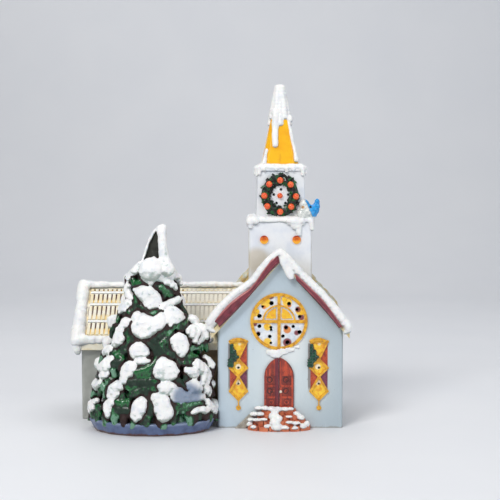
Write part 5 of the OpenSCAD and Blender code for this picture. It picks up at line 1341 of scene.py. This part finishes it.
def clumpFringes():  # green under each clump of snow, and sprays that hang from its lower edge
    for outline in fir["clumps"]:
        middle = Vector((sum(x for x, z in outline), sum(z for x, z in outline))) / len(outline)
        left = min(x for x, z in outline)
        wide = max(x for x, z in outline) - left
        if middle.y > 104 or wide < 4:
            continue
        under = [tuple(middle + (Vector(point) - middle) * 1.08 + Vector((0, -1.8))) for point in outline]
        inward = Matrix.Translation(Vector((0, 3.0, 0)) * mm)
        yield from toned([inward @ matrix for matrix in puff(under, 0.6)], 0.2)
        count = max(2, round(wide / 3.6))
        for i in range(count):
            x = left + wide * (i + 0.5) / count
            z = lowestIn(outline, x)
            lean = (x - middle.x) * 0.15 + dice.uniform(-0.9, 0.9)
            drop = dice.uniform(4.4, 6.8)
            line = [onFir(x, z + 1.0, 0.94), onFir(x + lean, z - drop * 0.45, 0.98),
                    onFir(x + lean * 2, z - drop, 0.95)]
            yield from toned(spray(line, dice.uniform(1.6, 2.1)), dice.choice((0.5, 0.55, 0.65, 0.95)))


def frontSprays():
    for radius, points in fir["sprays"]:
        tone = dice.choice((0.5, 0.6, 0.7, 0.95))
        yield from toned(spray([onFir(x, z, 0.98) for x, z in points], radius * 1.15), tone)
        for x, z in points[1:]:
            lean = dice.uniform(-1.6, 1.6)
            line = [onFir(x, z, 0.95), onFir(x + lean, z - 2.4, 0.97), onFir(x + lean * 1.5, z - 4.4, 0.94)]
            yield from toned(spray(line, radius * 0.8), tone)


def backPlaces():  # angle and height of each bough at the sides and the back, with the size of its snow
    for z, count, wide, high in fir["backBoughs"]:
        for i in range(count):
            yield pi * (-0.02 + 1.04 * (i + 0.5) / count), z, wide, high


def backSprays():
    for angle, z, wide, high in backPlaces():
        yield from toned([ball(aroundFir(angle, z - 2, 0.84), 1, (wide * 1.1, wide * 0.9, high))], 0.3)
        for j in (-1.5, -0.5, 0.5, 1.5):
            turn = angle + j * 2.6 / firHalf(z)
            line = [aroundFir(turn, z - 3, 0.9), aroundFir(turn, z - 6, 0.95), aroundFir(turn, z - 9, 0.93)]
            yield from toned(spray(line, 1.7), dice.choice((0.5, 0.6, 0.9)))


def footSprays():
    for i in range(fir["footSprays"]):
        angle = pi + pi * (i + dice.uniform(0.2, 0.8)) / fir["footSprays"]
        drop = dice.uniform(0, 2.4)
        line = [aroundFir(angle, 13, 0.93), aroundFir(angle, 10.5, 0.97), aroundFir(angle, 8.4 - drop, 0.955)]
        yield from toned(spray(line, dice.uniform(1.8, 2.6)), dice.choice((0.1, 0.5, 0.6, 0.9)))


def clumpShadows():  # painted shadow: dark places along the edges of the clumps, where they shade the boughs
    for outline in fir["clumps"]:
        for (x0, z0), (x1, z1) in sides(outline):
            spots = [onFir(x0 + (x1 - x0) * i / 4, z0 + (z1 - z0) * i / 4, 0.97) for i in range(4)]
            yield from toned([ball(spot, 2.1) for spot in spots], -0.3)


def buildFir():
    parts = [*firCore(), *clumpFringes(), *frontSprays(), *backSprays(), *footSprays()]
    parts += toned(chain([(fir["x"] + x, fir["y"], z, r) for x, z, r in fir["tip"]], (1, 0.85, 1), 0.04), 0.2)
    piece = clay("firBoughs", [matrix for matrix, tone in parts], *fir["boughClay"])
    trim(piece, (0, 0, 5), (0, 0, 1))
    trim(piece, (0, fir["back"], 0), (0, -1, 0))
    markRelief(piece, 24, 1.4)
    # the clumps' painted shadows darken the boughs along their edges
    markTone(piece, [*parts, *clumpShadows()], 0.3)
    rideOn(piece, boughGlaze(), "bough_glaze", "fir")


def buildFirSnow():
    balls = []
    for outline in fir["clumps"]:
        balls += puff(outline, 0.9)
    balls += chain([(*onFir(x, z, 0.98), 0.95) for x, z in fir["ridge"]], wobble=0.05)
    for angle, z, wide, high in backPlaces():
        for lean, rise, grow in ((0, 0, 1), (0.5, -0.35, 0.6), (-0.5, -0.3, 0.65)):
            spot = aroundFir(angle + lean * wide / firHalf(z), z + rise * high, 0.97)
            balls.append(ball(spot, 1, (wide * grow, wide * grow * 0.8, high * grow)))
    balls += chain([(fir["x"] + x, fir["y"] + y, z, r) for x, y, z, r in fir["nape"]])
    piece = clay("firSnow", balls, *fir["snowClay"])
    tip = piece.vertex_groups.new(name="tip")
    tip.add([point.index for point in piece.data.vertices if point.co.z > fir["smoothFrom"]], 1.0, "REPLACE")
    applyModifier(piece, "SMOOTH", factor=0.5, iterations=7, vertex_group="tip")
    trim(piece, (0, fir["back"], 0), (0, -1, 0))
    laySnow(piece, "fir_snow", rounds=24, material=firSnowGlaze())


def buildFirBase():
    middle = fir["footHeight"] / 2
    bpy.ops.mesh.primitive_cylinder_add(vertices=90, radius=fir["footHalf"], depth=fir["footHeight"],
                                        location=(fir["x"] * mm, fir["y"] * mm, middle))
    piece = bpy.context.object
    piece.name = "firFoot"
    bpy.ops.object.transform_apply(location=True)
    for point in piece.data.vertices:
        x, y = point.co.x / mm - fir["x"], point.co.y / mm - fir["y"]
        wave = 1 + 0.012 * sin(x * 0.45) + 0.01 * cos(y * 0.7)
        if point.co.z < middle:
            wave *= 0.9
        point.co.x = (fir["x"] + x * wave) * mm
        point.co.y = (fir["y"] + y * wave * fir["flat"]) * mm
    applyModifier(piece, "BEVEL", width=0.0022, segments=5, limit_method="ANGLE", profile=0.6)
    bpy.ops.object.shade_smooth_by_angle(angle=radians(50))
    trim(piece, (0, fir["back"], 0), (0, -1, 0))
    rideOn(piece, rimGlaze(), "rim_glaze", "fir_base")


buildFir()
buildFirSnow()
buildFirBase()
print("fir done")


# lamp unit

repaint(socketPlastic(), "socket_body")
repaint(metalFinish("brass", (214, 176, 92), (186, 146, 70), 0.25), "socket_shell", "bulb_cap")
repaint(metalFinish("contactMetal", (196, 198, 202), (168, 168, 172), 0.3), "socket_contact", "bulb_contact")
repaint(metalFinish("springSteel", (186, 190, 196), (150, 154, 160), 0.25), "socket_springs", "bulb_filament")
repaint(blackGlass(), "bulb_insulator")
repaint(bulbGlass(), "bulb_glass", "bulb_stem")
print("lamp unit painted")
